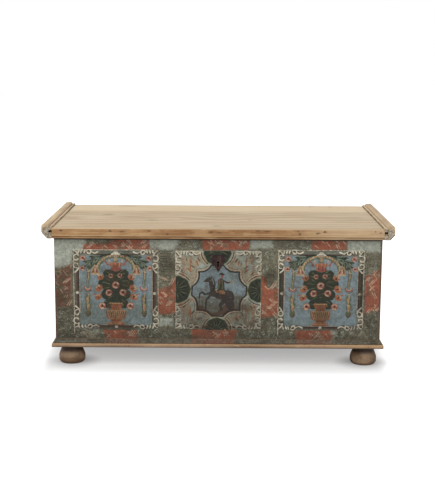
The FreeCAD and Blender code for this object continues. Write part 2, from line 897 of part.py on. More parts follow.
def escutcheon():
    """A shield on the outside of the front board: square-headed with rounded corners, drawn in below
    to a point."""
    half = escutcheon_half_width
    top = key_z + escutcheon_rise
    low = key_z - escutcheon_fall
    corner = escutcheon_corner
    waist = half * escutcheon_neck_share
    waist_z = low + (top - low) * escutcheon_shoulder_share
    hip_z = waist_z + half - waist
    path = [
        (-half, top - corner),
        ((-half, top), (corner - half, top)),
        (half - corner, top),
        ((half, top), (half, top - corner)),
        (half, hip_z),
        ((half, waist_z), (waist, waist_z)),
        (0, low),
        (-waist, waist_z),
        ((-half, waist_z), (-half, hip_z)),
    ]
    y0 = front_y - escutcheon_thickness
    plate = face(front_plane(y0), path).extrude(vec(0, escutcheon_thickness, 0))
    return plate.cut(keyhole(y0 - overrun, escutcheon_thickness + 2 * overrun))


def escutcheon_nails():
    """Four small nails in the shield, round the keyhole."""
    rise = escutcheon_rise * escutcheon_nail_rise_share
    side = escutcheon_half_width * escutcheon_nail_side_share
    seats = [(-side, rise / 2), (side, rise / 2), (-side, -rise / 2), (side, -rise / 2)]
    return [
        nail(vec(x, front_y - escutcheon_thickness, key_z + z), vec(0, -1, 0), lock_nail_length / 2,
             small_nail_share)
        for x, z in seats
    ]


def build():
    """Every piece by name. Wood is cut to let in the nails that pass through it."""
    pieces = {}
    nails = {
        "bottom_nails": bottom_nails(),
        "plinth_nails": plinth_nails(),
        "moulding_nails": moulding_nails(),
        "cleat_nails": cleat_nails(),
        "hinge_strap_nails": strap_nails(),
        "hinge_leaf_nails": leaf_nails(),
        "lock_nails": lock_nails(),
        "escutcheon_nails": escutcheon_nails(),
        "hasp_nails": hasp_nails(),
    }
    pieces["front_board"] = front_board()
    pieces["back_board"] = back_board()
    right = end_board()
    pieces["right_end_board"] = right
    pieces["left_end_board"] = mirrored(right).cut(till_bottom())
    for name, plank in zip(("front", "middle", "rear"), bottom_planks()):
        pieces[f"bottom_plank_{name}"] = plank
    pieces["plinth_front"] = plinth_front()
    pieces["plinth_right"] = plinth_end()
    pieces["plinth_left"] = mirrored(plinth_end())
    bun = turned_foot()
    for row in ("front", "rear"):
        pieces[f"feet_{row}"] = Part.makeCompound(
            [bun.translated(vec(x, y, 0)) for name, x, y in foot_places() if name == row]
        )
    wedges = [foot_wedge().translated(vec(x, y, 0)) for _, x, y in foot_places()]
    pieces["till_side"] = till_side()
    pieces["till_bottom"] = till_bottom()

    for name, plank in zip(("front", "middle", "rear"), lid_planks()):
        pieces[f"lid_plank_{name}"] = plank
    pieces["lid_moulding"] = lid_moulding()
    pieces["lid_cleat_right"] = lid_cleat()
    pieces["lid_cleat_left"] = mirrored(lid_cleat())

    for kind, made in (("strap", hinge_strap()), ("leaf", hinge_leaf())):
        pieces[f"hinge_{kind}_right"] = made
        pieces[f"hinge_{kind}_left"] = mirrored(made)
    pieces["hinge_pins"] = Part.makeCompound([hinge_pin(), mirrored(hinge_pin())])
    pieces["lock_plate"] = lock_plate()
    pieces["lock_bridge"] = lock_bridge()
    pieces["lock_spring"] = bolt_spring()
    pieces["hasp"] = hasp()
    pieces["escutcheon"] = escutcheon()

    every_nail = [n for group in nails.values() for n in group]
    for name in pieces:
        pieces[name] = cut_all(pieces[name], every_nail)
    pieces["lock_bolt"] = lock_bolt()
    pieces["lock_keepers"] = Part.makeCompound(keepers())
    pieces["foot_wedges"] = Part.makeCompound(wedges)
    for name, group in nails.items():
        pieces[name] = Part.makeCompound(group)
    return pieces


os.makedirs("parts", exist_ok=True)
for name, shape in build().items():
    shape.exportStep(f"parts/{name}.step")
    solids = shape.Solids
    print(name, len(solids), "solids", round(sum(s.Volume for s in solids)), "mm3", shape.isValid())
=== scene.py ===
import math

import bpy
import numpy as np
from mathutils import Matrix, Vector
from mathutils.geometry import tessellate_polygon


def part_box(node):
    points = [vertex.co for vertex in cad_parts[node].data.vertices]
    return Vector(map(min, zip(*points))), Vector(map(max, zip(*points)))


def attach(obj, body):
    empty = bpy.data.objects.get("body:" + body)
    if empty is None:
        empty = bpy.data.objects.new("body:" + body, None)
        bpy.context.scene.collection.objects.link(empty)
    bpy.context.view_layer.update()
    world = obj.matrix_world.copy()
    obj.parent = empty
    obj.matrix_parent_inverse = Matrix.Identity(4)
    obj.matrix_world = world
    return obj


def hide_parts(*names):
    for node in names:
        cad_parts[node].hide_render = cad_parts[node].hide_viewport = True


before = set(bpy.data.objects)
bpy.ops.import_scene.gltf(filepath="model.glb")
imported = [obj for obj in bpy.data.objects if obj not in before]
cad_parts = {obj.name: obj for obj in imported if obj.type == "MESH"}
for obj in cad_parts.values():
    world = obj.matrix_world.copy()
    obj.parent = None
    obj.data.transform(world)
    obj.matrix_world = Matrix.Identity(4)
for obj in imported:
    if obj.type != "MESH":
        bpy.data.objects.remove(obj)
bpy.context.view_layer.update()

bl_info = {
    "name": "Painted storage chest",
    "version": (1, 0, 0),
    "blender": (4, 5, 0),
    "location": "3D View > Sidebar > Chest",
    "description": "Old pine, folk painting and forged iron for a low storage chest",
    "category": "Object",
}

# Lengths are metres, apart from the painting, which is laid out in millimetres on the front board.
MM = 0.001
FRONT_LOW, FRONT_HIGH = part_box("front_board")
PLINTH_LOW, PLINTH_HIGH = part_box("plinth_front")
MOULDING_LOW, MOULDING_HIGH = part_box("lid_moulding")
CLEAT_LOW, CLEAT_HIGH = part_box("lid_cleat_right")
FOOT_LOW, FOOT_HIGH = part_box("feet_front")
RIM = FRONT_HIGH.z
LID_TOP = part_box("lid_plank_front")[1].z
FRONT_Y = FRONT_LOW.y
BACK_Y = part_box("back_board")[1].y
HALF_WIDTH = FRONT_HIGH.x
# The middle of the round part of the keyhole. Its slot hangs below that.
KEY_Z = RIM - 0.106
# How deep the back of a paint film lies in its board.
FILM_ROOT = 0.00005

# The place where an arc's middle lies, from its chord towards the corner that it rounds.
QUARTER = math.sqrt(2) - 1


def linear(*rgb):
    """A colour as it looks on a screen, 0 to 255, as the linear colour that a shader takes."""
    shares = [c / 255 for c in rgb]
    return tuple(c / 12.92 if c <= 0.04045 else ((c + 0.055) / 1.055) ** 2.4 for c in shares) + (1.0,)


def darker(paint, amount):
    return tuple(amount * c for c in paint[:3]) + (1.0,)


def colour(name, description, *rgb):
    return bpy.props.FloatVectorProperty(
        name=name, description=description, subtype="COLOR", size=4, min=0, max=1, default=linear(*rgb)
    )


def length(name, description, default):
    return bpy.props.FloatProperty(
        name=name, description=description, subtype="DISTANCE", unit="LENGTH", min=0, default=default
    )


class ChestSizes(bpy.types.PropertyGroup):
    """Small sizes that the surfaces are worked out from."""

    paint_pitch: length("Paint pitch", "Distance between the places where the painting is worked out", 0.0014)
    paint_film: length("Paint film", "How far the paint stands off the board", 0.0004)
    wood_pitch: length("Wood pitch", "Distance between points round a moulding", 0.0016)
    arris: length("Arris", "How far the edges of the boards are rubbed round", 0.0009)
    end_round: length("End round", "How far the ends of the lid's cleats are worn round", 0.007)


class ChestPaints(bpy.types.PropertyGroup):
    """Colours of the painted front and ends."""

    olive: colour("Olive", "Ground of the boards", 112, 106, 86)
    olive_dark: colour("Dark olive", "Brush marks and dirt in the ground", 68, 61, 45)
    celadon: colour("Celadon", "Pale blue-green parts of the ground", 148, 154, 140)
    frost: colour("Frost", "Palest parts of the ground", 172, 176, 162)
    madder: colour("Madder", "Red parts of the ground", 146, 84, 62)
    putty: colour("Putty", "Ground of the middle panel", 148, 138, 116)
    blue: colour("Blue", "Field of the panels", 121, 135, 139)
    stone: colour("Stone", "Ground that the rider stands on", 96, 98, 88)
    umber: colour("Umber", "Bands of the frames and shadows", 82, 64, 54)
    slate: colour("Slate", "The horse", 52, 44, 42)
    leaf: colour("Leaf", "Leaves", 40, 49, 36)
    mist: colour("Mist", "Grey-green lights of the garlands", 112, 122, 108)
    sap: colour("Sap", "Lights on the leaves", 92, 96, 70)
    terracotta: colour("Terracotta", "Urns and orange blooms", 150, 92, 62)
    ochre: colour("Ochre", "Arches and flutes", 158, 136, 100)
    rose: colour("Rose", "Roses", 142, 80, 66)
    blush: colour("Blush", "Lights on the roses", 186, 156, 130)
    line: colour("Line", "Dark lines", 34, 28, 26)
    cream: colour("Cream", "Scrolls and light lines", 204, 196, 174)
    # Dirt is also the colour of the painted shadow under the lid's lip and of the painted shade along the top
    # of the plinth's hollow.
    dirt: colour("Dirt", "Dirt over the paint", 50, 42, 32)
    bare: colour("Bare", "Worn edges and chips", 92, 70, 54)


class ChestWood(bpy.types.PropertyGroup):
    """Colours of the wood and of the iron."""

    lid_pale: colour("Lid", "Pale wood of the lid", 207, 187, 154)
    lid_dark: colour("Lid grain", "Late wood of the lid", 178, 152, 120)
    lid_edge: colour("Lid back edge", "Fresher wood along the back of the lid", 227, 204, 168)
    cleat_pale: colour("Cleats", "Pale wood of the cleats", 216, 190, 150)
    cleat_end: colour("Cleat ends", "Weathered end grain", 172, 162, 144)
    moulding_pale: colour("Moulding", "Pale wood of the lid's front edge", 192, 153, 106)
    # Also the colour of the painted highlight along the lower arris of the lid's front edge.
    moulding_rubbed_and_highlit: colour("Moulding arris", "Rubbed wood of the lid's front edge", 202, 168, 124)
    moulding_dark: colour("Moulding grain", "Late wood of the lid's front edge", 138, 98, 60)
    # Stain is also the colour of painted shade: in the grooves of the lid's front edge and cleats, under its
    # lip, on the lower outsides of the cleats and along the plinth's lower edge.
    stain: colour("Stain", "Knots, nail stains and dirt in the grooves", 74, 54, 38)
    plinth_pale: colour("Plinth", "Pale wood of the plinth", 176, 148, 120)
    plinth_dark: colour("Plinth grain", "Late wood of the plinth", 138, 106, 80)
    foot_pale: colour("Feet", "Pale wood of the feet", 150, 124, 98)
    foot_dark: colour("Foot grain", "Late wood of the feet", 98, 72, 50)
    # Also the painted shadow that the plinth casts on the necks of the feet.
    foot_neck_shadow_and_dirt: colour("Foot neck", "Dirt on the necks of the feet", 40, 26, 20)
    inside_pale: colour("Inside", "Bare wood inside and behind", 176, 142, 100)
    inside_dark: colour("Inside grain", "Late wood inside and behind", 132, 96, 62)
    iron: colour("Iron", "Forged iron", 50, 46, 44)
    rust: colour("Rust", "Rust on the iron", 104, 66, 46)
    shield: colour("Shield", "Old iron of the escutcheon", 48, 35, 38)


# Surfaces.


def arc(a, corner, b, step):
    """Points after a, up to b, on the circle through a, b and a middle point that lies QUARTER of the
    way from the middle of the chord to the corner."""
    a, corner, b = (np.array(p, float) for p in (a, corner, b))
    middle = (a + b) / 2 + QUARTER * (corner - (a + b) / 2)
    sides = np.array([middle - a, b - a]) * 2
    centre = np.linalg.solve(sides, [middle @ middle - a @ a, b @ b - a @ a])
    start, half = (math.atan2(*(p - centre)[::-1]) for p in (a, middle))
    sweep = 2 * math.remainder(half - start, 2 * math.pi)
    radius = math.hypot(*(a - centre))
    count = max(3, math.ceil(abs(sweep) * radius / step))
    angles = start + sweep * np.arange(1, count + 1) / count
    return centre + radius * np.stack([np.cos(angles), np.sin(angles)], 1)


def loop(path, step):
    """A closed outline with points about step apart. An entry of the path is a point, or a pair: the
    corner that an arc rounds, and the arc's end."""
    here = np.array(path[0], float)
    points = [here[None]]
    for entry in path[1:] + [path[0]]:
        if isinstance(entry[0], tuple):
            run = arc(here, entry[0], entry[1], step)
        else:
            end = np.array(entry, float)
            count = max(1, math.ceil(np.linalg.norm(end - here) / step))
            run = here + (end - here) * (np.arange(1, count + 1) / count)[:, None]
        points.append(run)
        here = run[-1]
    return np.concatenate(points)[:-1]


def box_outline(a0, a1, b0, b1, step):
    return loop([(a0, b0), (a1, b0), (a1, b1), (a0, b1)], step)


def rubbed(outline, passes):
    """An outline whose corners are rubbed round: each pass moves a point half way to the middle of its
    neighbours, and only where that lies inside."""
    for _ in range(passes):
        middle = (np.roll(outline, 1, 0) + np.roll(outline, -1, 0)) / 2
        out = outward(outline)
        inside = ((middle - outline) * out).sum(1, keepdims=True) < 0
        outline = np.where(inside, (outline + middle) / 2, outline)
    return outline


def outward(outline):
    """Unit normals of a closed outline, pointing out of it."""
    along = np.roll(outline, -1, 0) - np.roll(outline, 1, 0)
    normal = np.stack([along[:, 1], -along[:, 0]], 1)
    normal /= np.maximum(np.linalg.norm(normal, axis=1, keepdims=True), 1e-12)
    following = np.roll(outline, -1, 0)
    area = (outline[:, 0] * following[:, 1] - outline[:, 1] * following[:, 0]).sum()
    return normal if area > 0 else -normal


def wave(t, pitch, seed):
    """A smooth random line from -1 to 1: a sum of four sines with random phases, about pitch long."""
    rng = np.random.default_rng(seed)
    rates = 2 * np.pi / pitch * np.array([0.43, 0.77, 1.19, 1.9])
    phases = rng.uniform(0, 2 * np.pi, 4)
    weights = np.array([0.36, 0.28, 0.21, 0.15])
    return (weights * np.sin(np.multiply.outer(t, rates) + phases)).sum(-1)


def grid_faces(rows, columns, closed=False):
    """Quads of a grid of rows by columns of points; closed joins its last column to its first."""
    across = columns if closed else columns - 1
    i, j = np.meshgrid(np.arange(rows - 1), np.arange(across), indexing="ij")
    k = (j + 1) % columns
    quads = np.stack([i * columns + j, i * columns + k, (i + 1) * columns + k, (i + 1) * columns + j], -1)
    return quads.reshape(-1, 4)


def shell(points, *groups):
    """A closed surface, with its faces turned so that the volume that they hold is positive."""
    points = np.asarray(points, float).reshape(-1, 3)
    volume = 0.0
    for faces in groups:
        for k in range(1, faces.shape[1] - 1):
            a, b, c = (points[faces[:, i]] for i in (0, k, k + 1))
            volume += np.einsum("ij,ij->", a, np.cross(b, c))
    return points, [faces if volume > 0 else faces[:, ::-1] for faces in groups]


def carried(outline, stations, inset, place):
    """A section carried along a line: at each station the outline is drawn in by inset, along its
    normals, and place turns (a, b, station) into a point. Both ends are closed."""
    out = outward(outline)
    sections = outline[None] - inset[:, None, None] * out[None]
    points = np.stack(place(sections[..., 0], sections[..., 1], stations[:, None]), -1)
    count = len(outline)

    def cap(row):
        flat = [Vector((float(a), float(b), 0)) for a, b in sections[row]]
        return np.array(tessellate_polygon([flat])) + row * count

    first, last = cap(0), cap(len(stations) - 1)
    # Neighbouring faces run along the edge that they share in opposite directions.
    if runs_on(first, count) == runs_on(last, count):
        first = first[:, ::-1]
    sides = grid_faces(len(stations), count, closed=True)
    return shell(points, sides[:, ::-1] if runs_on(first, count) else sides, first, last)


def runs_on(faces, count):
    """True where the faces of a cap run along its outline in the order of its points."""
    step = (faces[:, [1, 2, 0]] - faces) % count
    return (step == 1).sum() > (step == count - 1).sum()


def round_ends(start, end, step, radius):
    """Stations from start to end, with quarter circles of radius at both, and how far in they draw."""
    turn = np.linspace(0, math.pi / 2, 7)
    middle = np.linspace(start + radius, end - radius, max(3, math.ceil((end - start) / step)))[1:-1]
    lead = start + radius * (1 - np.sin(turn))
    inset = radius * (1 - np.cos(turn))
    stations = np.concatenate([lead[::-1], middle, end - (lead - start)])
    return stations, np.concatenate([inset[::-1], np.zeros(len(middle)), inset])


def piece(name, shells, material, body, nodes=()):
    """A mesh object in place, made of closed shells, that rides on a body and stands for CAD nodes."""
    points, loops, sizes, base = [], [], [], 0
    for verts, groups in shells:
        points.append(verts)
        for faces in groups:
            loops.append((faces + base).ravel())
            sizes.append(np.full(len(faces), faces.shape[1]))
        base += len(verts)
    points, loops, sizes = (np.concatenate(x) for x in (points, loops, sizes))
    mesh = bpy.data.meshes.new(name)
    mesh.vertices.add(len(points))
    mesh.vertices.foreach_set("co", points.astype(np.float32).ravel())
    mesh.loops.add(len(loops))
    mesh.loops.foreach_set("vertex_index", loops.astype(np.int32))
    mesh.polygons.add(len(sizes))
    mesh.polygons.foreach_set("loop_start", np.concatenate([[0], np.cumsum(sizes)[:-1]]).astype(np.int32))
    mesh.update(calc_edges=True)
    mesh.validate()
    mesh.shade_smooth()
    mesh.set_sharp_from_angle(angle=math.radians(38))
    mesh.materials.append(material)
    made = bpy.data.objects.new(name, mesh)
    bpy.context.scene.collection.objects.link(made)
    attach(made, body)
    if nodes:
        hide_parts(*nodes)
    return made


def dress(node, material, width=0.0, segments=2):
    """Gives a CAD node its material, and a small bevel on its edges where width isn't 0."""
    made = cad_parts[node]
    made.data.materials.clear()
    made.data.materials.append(material)
    if width:
        weld = made.modifiers.new("weld", "WELD")
        weld.merge_threshold = 1e-6
        bevel = made.modifiers.new("edges", "BEVEL")
        bevel.width = width
        bevel.segments = segments
        bevel.limit_method = "ANGLE"
        bevel.angle_limit = math.radians(40)
        bevel.harden_normals = False


# Materials.


class Finish:
    """A material and short ways to wire its nodes."""

    def __init__(self, name):
        self.material = bpy.data.materials.new(name)
        self.material.use_nodes = True
        self.nodes = self.material.node_tree.nodes
        self.links = self.material.node_tree.links
        self.shader = self.nodes["Principled BSDF"]
        self.place = self.nodes.new("ShaderNodeTexCoord").outputs["Object"]
        self.x, self.y, self.z = self.node("SeparateXYZ", {0: self.place}).outputs

    def put(self, socket, value):
        if isinstance(value, bpy.types.NodeSocket):
            self.links.new(value, socket)
        else:
            socket.default_value = value

    def node(self, kind, inputs, **settings):
        made = self.nodes.new("ShaderNode" + kind)
        for key, value in settings.items():
            setattr(made, key, value)
        for key, value in inputs.items():
            self.put(made.inputs[key], value)
        return made

    def maths(self, operation, a, b=0.0):
        return self.node("Math", {0: a, 1: b}, operation=operation).outputs[0]

    def times(self, a, b):
        return self.maths("MULTIPLY", a, b)

    def plus(self, a, b):
        return self.maths("ADD", a, b)

    def less(self, a, b):
        return self.maths("SUBTRACT", a, b)

    def moved(self, place, shift=(0, 0, 0), turn=(0, 0, 0), scale=(1, 1, 1)):
        return self.node("Mapping", {"Vector": place, "Location": shift, "Rotation": turn,
                                     "Scale": scale}).outputs[0]

    def noise(self, place, scale, detail=3.0, roughness=0.55, distortion=0.0):
        return self.node("TexNoise", {"Vector": place, "Scale": scale, "Detail": detail,
                                      "Roughness": roughness, "Distortion": distortion}).outputs["Fac"]

    def between(self, value, low, high, to_low=0.0, to_high=1.0):
        """value carried from low..high to to_low..to_high, smoothly and no further."""
        return self.node("MapRange", {"Value": value, "From Min": low, "From Max": high,
                                      "To Min": to_low, "To Max": to_high},
                         interpolation_type="SMOOTHSTEP").outputs["Result"]

    def mix(self, amount, a, b, blend="MIX"):
        made = self.node("Mix", {0: amount}, data_type="RGBA", blend_type=blend)
        self.put(made.inputs[6], a)
        self.put(made.inputs[7], b)
        return made.outputs[2]

    def grey(self, value):
        return self.node("CombineColor", {0: value, 1: value, 2: value}).outputs[0]

    def attribute(self, name):
        return self.node("Attribute", {}, attribute_name=name).outputs["Fac"]

    def spots(self, centres):
        """How far each place is from the nearest of some centres, each with its reach along X, Y and
        Z: 0 at a centre and 1 at its reach. Noise makes the edges ragged."""
        least = 9.0
        for centre, reach in centres:
            off = self.node("VectorMath", {0: self.place, 1: centre}, operation="SUBTRACT").outputs[0]
            shares = self.node("VectorMath", {0: off, 1: reach}, operation="DIVIDE").outputs[0]
            away = self.node("VectorMath", {0: shares}, operation="LENGTH").outputs["Value"]
            least = self.maths("MINIMUM", away, least)
        wander = self.less(self.noise(self.place, 140, 4.0, 0.7), 0.5)
        return self.plus(least, self.times(wander, 1.6))

    def stained(self, base, stain, centres, strength):
        """base, turned to the stain's colour round each centre."""
        return self.tint(base, stain, self.spots(centres), 0.3, 1.1, strength, 0.0)

    def within(self, value, low, high, soft):
        """1 between low and high and 0 outside, with soft edges."""
        return self.times(self.between(value, low - soft, low + soft),
                          self.between(value, high - soft, high + soft, 1.0, 0.0))

    def tint(self, base, stain, value, *span):
        """base, turned to a stain's colour as a value goes through a span, as between takes it."""
        return self.mix(self.between(value, *span), base, stain)

    def shade(self, base, amount):
        """base times an amount of light."""
        return self.mix(1.0, base, self.grey(amount), "MULTIPLY")

    def bump(self, height, depth, strength=1.0, below=None):
        made = self.node("Bump", {"Height": height, "Distance": depth, "Strength": strength})
        if below is not None:
            self.put(made.inputs["Normal"], below)
        return made.outputs["Normal"]

    def finish(self, base, roughness, normal=None, specular=0.35, metallic=0.0):
        self.put(self.shader.inputs["Base Color"], base)
        self.put(self.shader.inputs["Roughness"], roughness)
        self.shader.inputs["Specular IOR Level"].default_value = specular
        self.put(self.shader.inputs["Metallic"], metallic)
        if normal is not None:
            self.put(self.shader.inputs["Normal"], normal)
        return self.material


GRAIN_TURNS = {"X": (0, 0, 0), "Y": (0, 0, -math.pi / 2), "Z": (0, math.pi / 2, 0)}


def grain(f, pale, dark, along="X", seed=0.0, streaks=0.5, dirt=0.35, knots=0.6, ring=0.0055, shine=0.5):
    """Old pine with its grain along an axis: its colour, its roughness and its normal. Growth rings are
    rings round a pith that lies off the board, fibres are noise drawn out along the grain, and knots
    are sparse long cells."""
    place = f.moved(f.place, turn=GRAIN_TURNS[along])
    place = f.moved(place, shift=(seed * 1.7, seed * 0.013, -0.11 - 0.02 * math.sin(seed)))
    drift = f.noise(f.moved(place, scale=(0.55, 1, 1)), 5.0, 2.0)
    sideways = f.node("CombineXYZ", {1: f.times(drift, 0.055), 2: drift}).outputs[0]
    drifted = f.node("VectorMath", {0: place, 1: sideways}, operation="ADD").outputs[0]
    rings = f.node("TexWave", {"Vector": f.moved(drifted, scale=(0.05, 1, 0.12)), "Scale": 0.05 / ring,
                               "Distortion": 3.2, "Detail": 2.0, "Detail Scale": 0.8},
                   wave_type="RINGS", rings_direction="X", wave_profile="SIN").outputs["Fac"]
    fibre = f.noise(f.moved(place, scale=(14, 520, 520)), 1.0, 3.0, 0.6)
    coarse = f.noise(f.moved(place, scale=(3, 70, 70)), 1.0, 3.0, 0.6)
    bands = f.noise(f.moved(place, scale=(1.6, 26, 26)), 1.0, 5.0, 0.66)
    share = f.plus(f.times(rings, 0.4), f.times(coarse, 0.3))
    share = f.plus(share, f.times(bands, 0.45))
    base = f.mix(f.between(share, 0.35, 0.85, 0.0, streaks + 0.35), pale, dark)
    base = f.tint(base, dark, fibre, 0.35, 0.75, 0.0, 0.35)
    cells = f.node("TexVoronoi", {"Vector": f.moved(place, scale=(1.9, 7.0, 7.0)), "Scale": 1.0,
                                  "Randomness": 1.0}).outputs["Distance"]
    deep = darker(dark, 0.38)
    base = f.tint(base, dark, cells, 0.05, 0.17, 0.3 * knots, 0.0)
    base = f.tint(base, deep, cells, 0.035, 0.075, knots, 0.0)
    clouds = f.noise(f.moved(place, scale=(0.5, 1, 1)), 7.0, 5.0, 0.62)
    base = f.tint(base, deep, clouds, 0.48, 0.78, 0.0, dirt)
    specks = f.noise(place, 330, 2.0)
    base = f.tint(base, deep, specks, 0.66, 0.74, 0.0, dirt)
    height = f.plus(f.times(fibre, 0.5), f.times(rings, 0.5))
    normal = f.bump(height, 0.0005, 0.5, f.bump(clouds, 0.0015, 0.4))
    return base, f.between(clouds, 0.3, 0.7, shine, shine + 0.2), normal


def pine(name, pale, dark, along="X", **look):
    f = Finish(name)
    return f.finish(*grain(f, pale, dark, along, **look))


def forged(name, iron, rust, rusty=0.5, seed=0.0):
    """Forged iron: shallow hammer marks, a dark skin, and rust where a coarse noise is high."""
    f = Finish(name)
    place = f.moved(f.place, shift=(seed, seed, 0))
    hammer = f.noise(place, 75, 1.0)
    scale = f.noise(place, 420, 5.0, 0.65)
    patches = f.noise(place, 34, 5.0, 0.65)
    amount = f.between(f.plus(patches, f.times(scale, 0.35)), 0.6, 0.82, 0.0, rusty)
    base = f.mix(amount, iron, rust)
    base = f.tint(base, darker(iron, 0.45), scale, 0.35, 0.65, 0.0, 0.5)
    normal = f.bump(scale, 0.0003, 0.6, f.bump(hammer, 0.0012, 0.7))
    return f.finish(base, f.between(scale, 0.3, 0.7, 0.48, 0.72), normal, 0.5,
                    f.between(amount, 0.0, 0.6, 0.75, 0.1))


# The paints in the order in which they lie over each other. For each, half the width of its soft edge in
# millimetres, and how much of it is rubbed away.
PAINTS = {
    "madder": (2.4, 0.3), "putty": (2.4, 0.3), "celadon": (1.2, 0.45), "blue": (1.0, 0.12),
    "stone": (5.0, 0.5), "umber": (0.8, 0.18), "slate": (1.2, 0.3), "leaf": (0.9, 0.12),
    "mist": (1.2, 0.35), "sap": (1.0, 0.4), "terracotta": (0.8, 0.18), "ochre": (0.9, 0.3),
    "rose": (0.8, 0.18), "blush": (1.0, 0.25), "line": (0.8, 0.05), "cream": (0.7, 0.45),
}


def painted(name, paints):
    """Old paint on pine. Each colour covers where its stored distance, shifted by noise, is below
    zero, and is rubbed thin by a noise of its own. Sponge marks, dirt, scratches, fine cracks and chips
    lie over all of them, the boards are darker towards the floor, and a painted shadow darkens them
    just under the lid's lip."""
    f = Finish(name)
    place = f.place
    brush = f.noise(place, 150, 4.0)
    fine = f.noise(place, 900, 3.0)
    shift = f.plus(f.times(brush, 3.4), f.times(fine, 1.2))
    shift = f.less(shift, 2.3)
    clouds = f.noise(place, 13, 5.0, 0.6, 0.9)
    sponge = f.noise(f.moved(place, scale=(1.0, 1, 1.3)), 95, 4.0, 0.72, 2.0)
    low = f.between(f.z, 0.10, 0.36, 0.14, 0.0)
    base = f.mix(f.between(f.plus(clouds, low), 0.40, 0.80), paints.olive, paints.olive_dark)
    cool = f.plus(f.attribute("cool"), f.times(f.less(clouds, 0.5), 1.3))
    base = f.tint(base, paints.frost, cool, 0.3, 0.8, 0.0, 0.86)
    base = f.tint(base, paints.celadon, sponge, 0.50, 0.60, 0.0, 0.52)
    speckled = f.times(f.between(sponge, 0.37, 0.47, 0.6, 0.0),
                       f.between(cool, 0.3, 0.8, 1.0, 0.5))
    base = f.mix(speckled, base, paints.olive_dark)
    mottle = f.noise(place, 34, 3.0)
    green = f.times(f.between(f.z, 0.2, 0.38, 0.13, -0.1), f.between(f.x, -0.2, 0.1, 1.0, 0.2))
    green = f.between(f.plus(clouds, green), 0.45, 0.66, 0.0, 0.42)
    mixed = {"putty": f.mix(f.between(mottle, 0.45, 0.6), paints.putty, paints.celadon),
             "blue": f.mix(green, paints.blue, paints.sap),
             "madder": f.mix(f.between(f.x, -0.565, -0.55, 0.5, 0.0), paints.madder, paints.umber)}
    for field, (edge, rub) in PAINTS.items():
        distance = f.plus(f.attribute(field), shift)
        cover = f.between(distance, -edge, edge, 1.0, 0.0)
        patchy = f.noise(f.moved(place, shift=(len(field), 0, edge)), 105, 6.0, 0.75)
        cover = f.times(cover, f.between(patchy, 0.34, 0.34 + 0.4 * rub, 1.0 - 1.3 * rub, 1.0))
        if field == "madder":
            cover = f.times(cover, f.between(f.noise(place, 30, 5.0, 0.65), 0.4, 0.5, 0.45, 1.0))
        base = f.mix(cover, base, mixed.get(field, getattr(paints, field)))
    tone = f.noise(place, 85, 7.0, 0.75)
    base = f.shade(base, f.between(tone, 0.28, 0.72, 0.66, 1.26))
    grime = f.noise(place, 21, 7.0, 0.72)
    base = f.tint(base, paints.olive_dark, grime, 0.46, 0.72, 0.0, 0.5)
    base = f.shade(base, f.between(f.z, 0.13, 0.36, 0.88, 1.0))
    worn = f.times(f.attribute("dirt"), f.between(grime, 0.3, 0.7, 0.6, 1.3))
    base = f.mix(worn, base, paints.dirt)
    # Painted shadow: a dark band, in the dirt colour, on the boards just under the lid's lip.
    base = f.tint(base, paints.dirt, f.z, RIM - 0.0225, RIM - 0.019, 0.0, 0.9)
    specks = f.noise(place, 430, 5.0, 0.75)
    base = f.tint(base, paints.line, specks, 0.60, 0.68, 0.0, 0.6)
    base = f.tint(base, paints.cream, specks, 0.30, 0.38, 0.45, 0.0)
    scratch = f.noise(f.moved(place, turn=(0, 0.35, 0), scale=(26, 1, 420)), 1.0, 2.0)
    base = f.tint(base, paints.cream, scratch, 0.70, 0.74, 0.0, 0.4)
    cracks = f.node("TexVoronoi", {"Vector": f.moved(place, scale=(0.5, 1, 1)), "Scale": 150.0},
                    feature="DISTANCE_TO_EDGE").outputs["Distance"]
    split = f.between(cracks, 0.0, 0.035, 1.0, 0.0)
    base = f.mix(f.times(split, 0.4), base, paints.line)
    edges = f.plus(f.attribute("bare"), f.times(shift, 1.8))
    chips = f.plus(grime, f.times(fine, 0.35))
    bare = f.maths("MAXIMUM", f.between(edges, -2.0, 2.0, 1.0, 0.0), f.between(chips, 0.82, 0.85))
    base = f.mix(f.times(bare, 0.85), base, paints.bare)
    relief = f.less(f.times(brush, 0.4), f.plus(bare, split))
    normal = f.bump(relief, 0.0004, 0.7)
    return f.finish(base, f.between(grime, 0.3, 0.7, 0.5, 0.72), normal, 0.25)


# The painting. A shape is a function that gives the distance to its edge, negative inside, and the
# box that it lies in. All are in millimetres from the middle of the panel that they belong to.


def towards(x, z, far, turn):
    """The point that lies so far from (x, z) in a direction."""
    return x + far * math.cos(turn), z + far * math.sin(turn)


def along_and_aside(px, pz, x, z, turn):
    """How far places lie from (x, z) along a direction, and to the left of it."""
    c, s = math.cos(turn), math.sin(turn)
    return (px - x) * c + (pz - z) * s, (pz - z) * c - (px - x) * s


def nearest(px, pz, a, b):
    """How far places lie from the straight line from a to b, and the share of the way along it at which
    the nearest point lies."""
    d = b - a
    t = np.clip(((px - a[0]) * d[0] + (pz - a[1]) * d[1]) / max(d @ d, 1e-9), 0, 1)
    return np.hypot(px - a[0] - t * d[0], pz - a[1] - t * d[1]), t


def oval(x, z, wide, high=None, turn=0.0):
    """An ellipse: its scaled radius less one, times the smaller half width."""
    high = high or wide

    def distance(px, pz):
        u, v = along_and_aside(px, pz, x, z, turn)
        return (np.hypot(u / wide, v / high) - 1) * min(wide, high)

    reach = max(wide, high)
    return distance, (x - reach, x + reach, z - reach, z + reach)


def stroke(points, width, tip=None):
    """A brush line: the distance to the nearest stretch, less half its width, which changes evenly
    from width to tip."""
    points = np.array(points, float)
    halves = np.linspace(width, width if tip is None else tip, len(points)) / 2

    def distance(px, pz):
        best = np.inf
        for a, b, wa, wb in zip(points, points[1:], halves, halves[1:]):
            away, t = nearest(px, pz, a, b)
            best = np.minimum(best, away - wa - (wb - wa) * t)
        return best

    low, high = points.min(0) - halves.max(), points.max(0) + halves.max()
    return distance, (low[0], high[0], low[1], high[1])


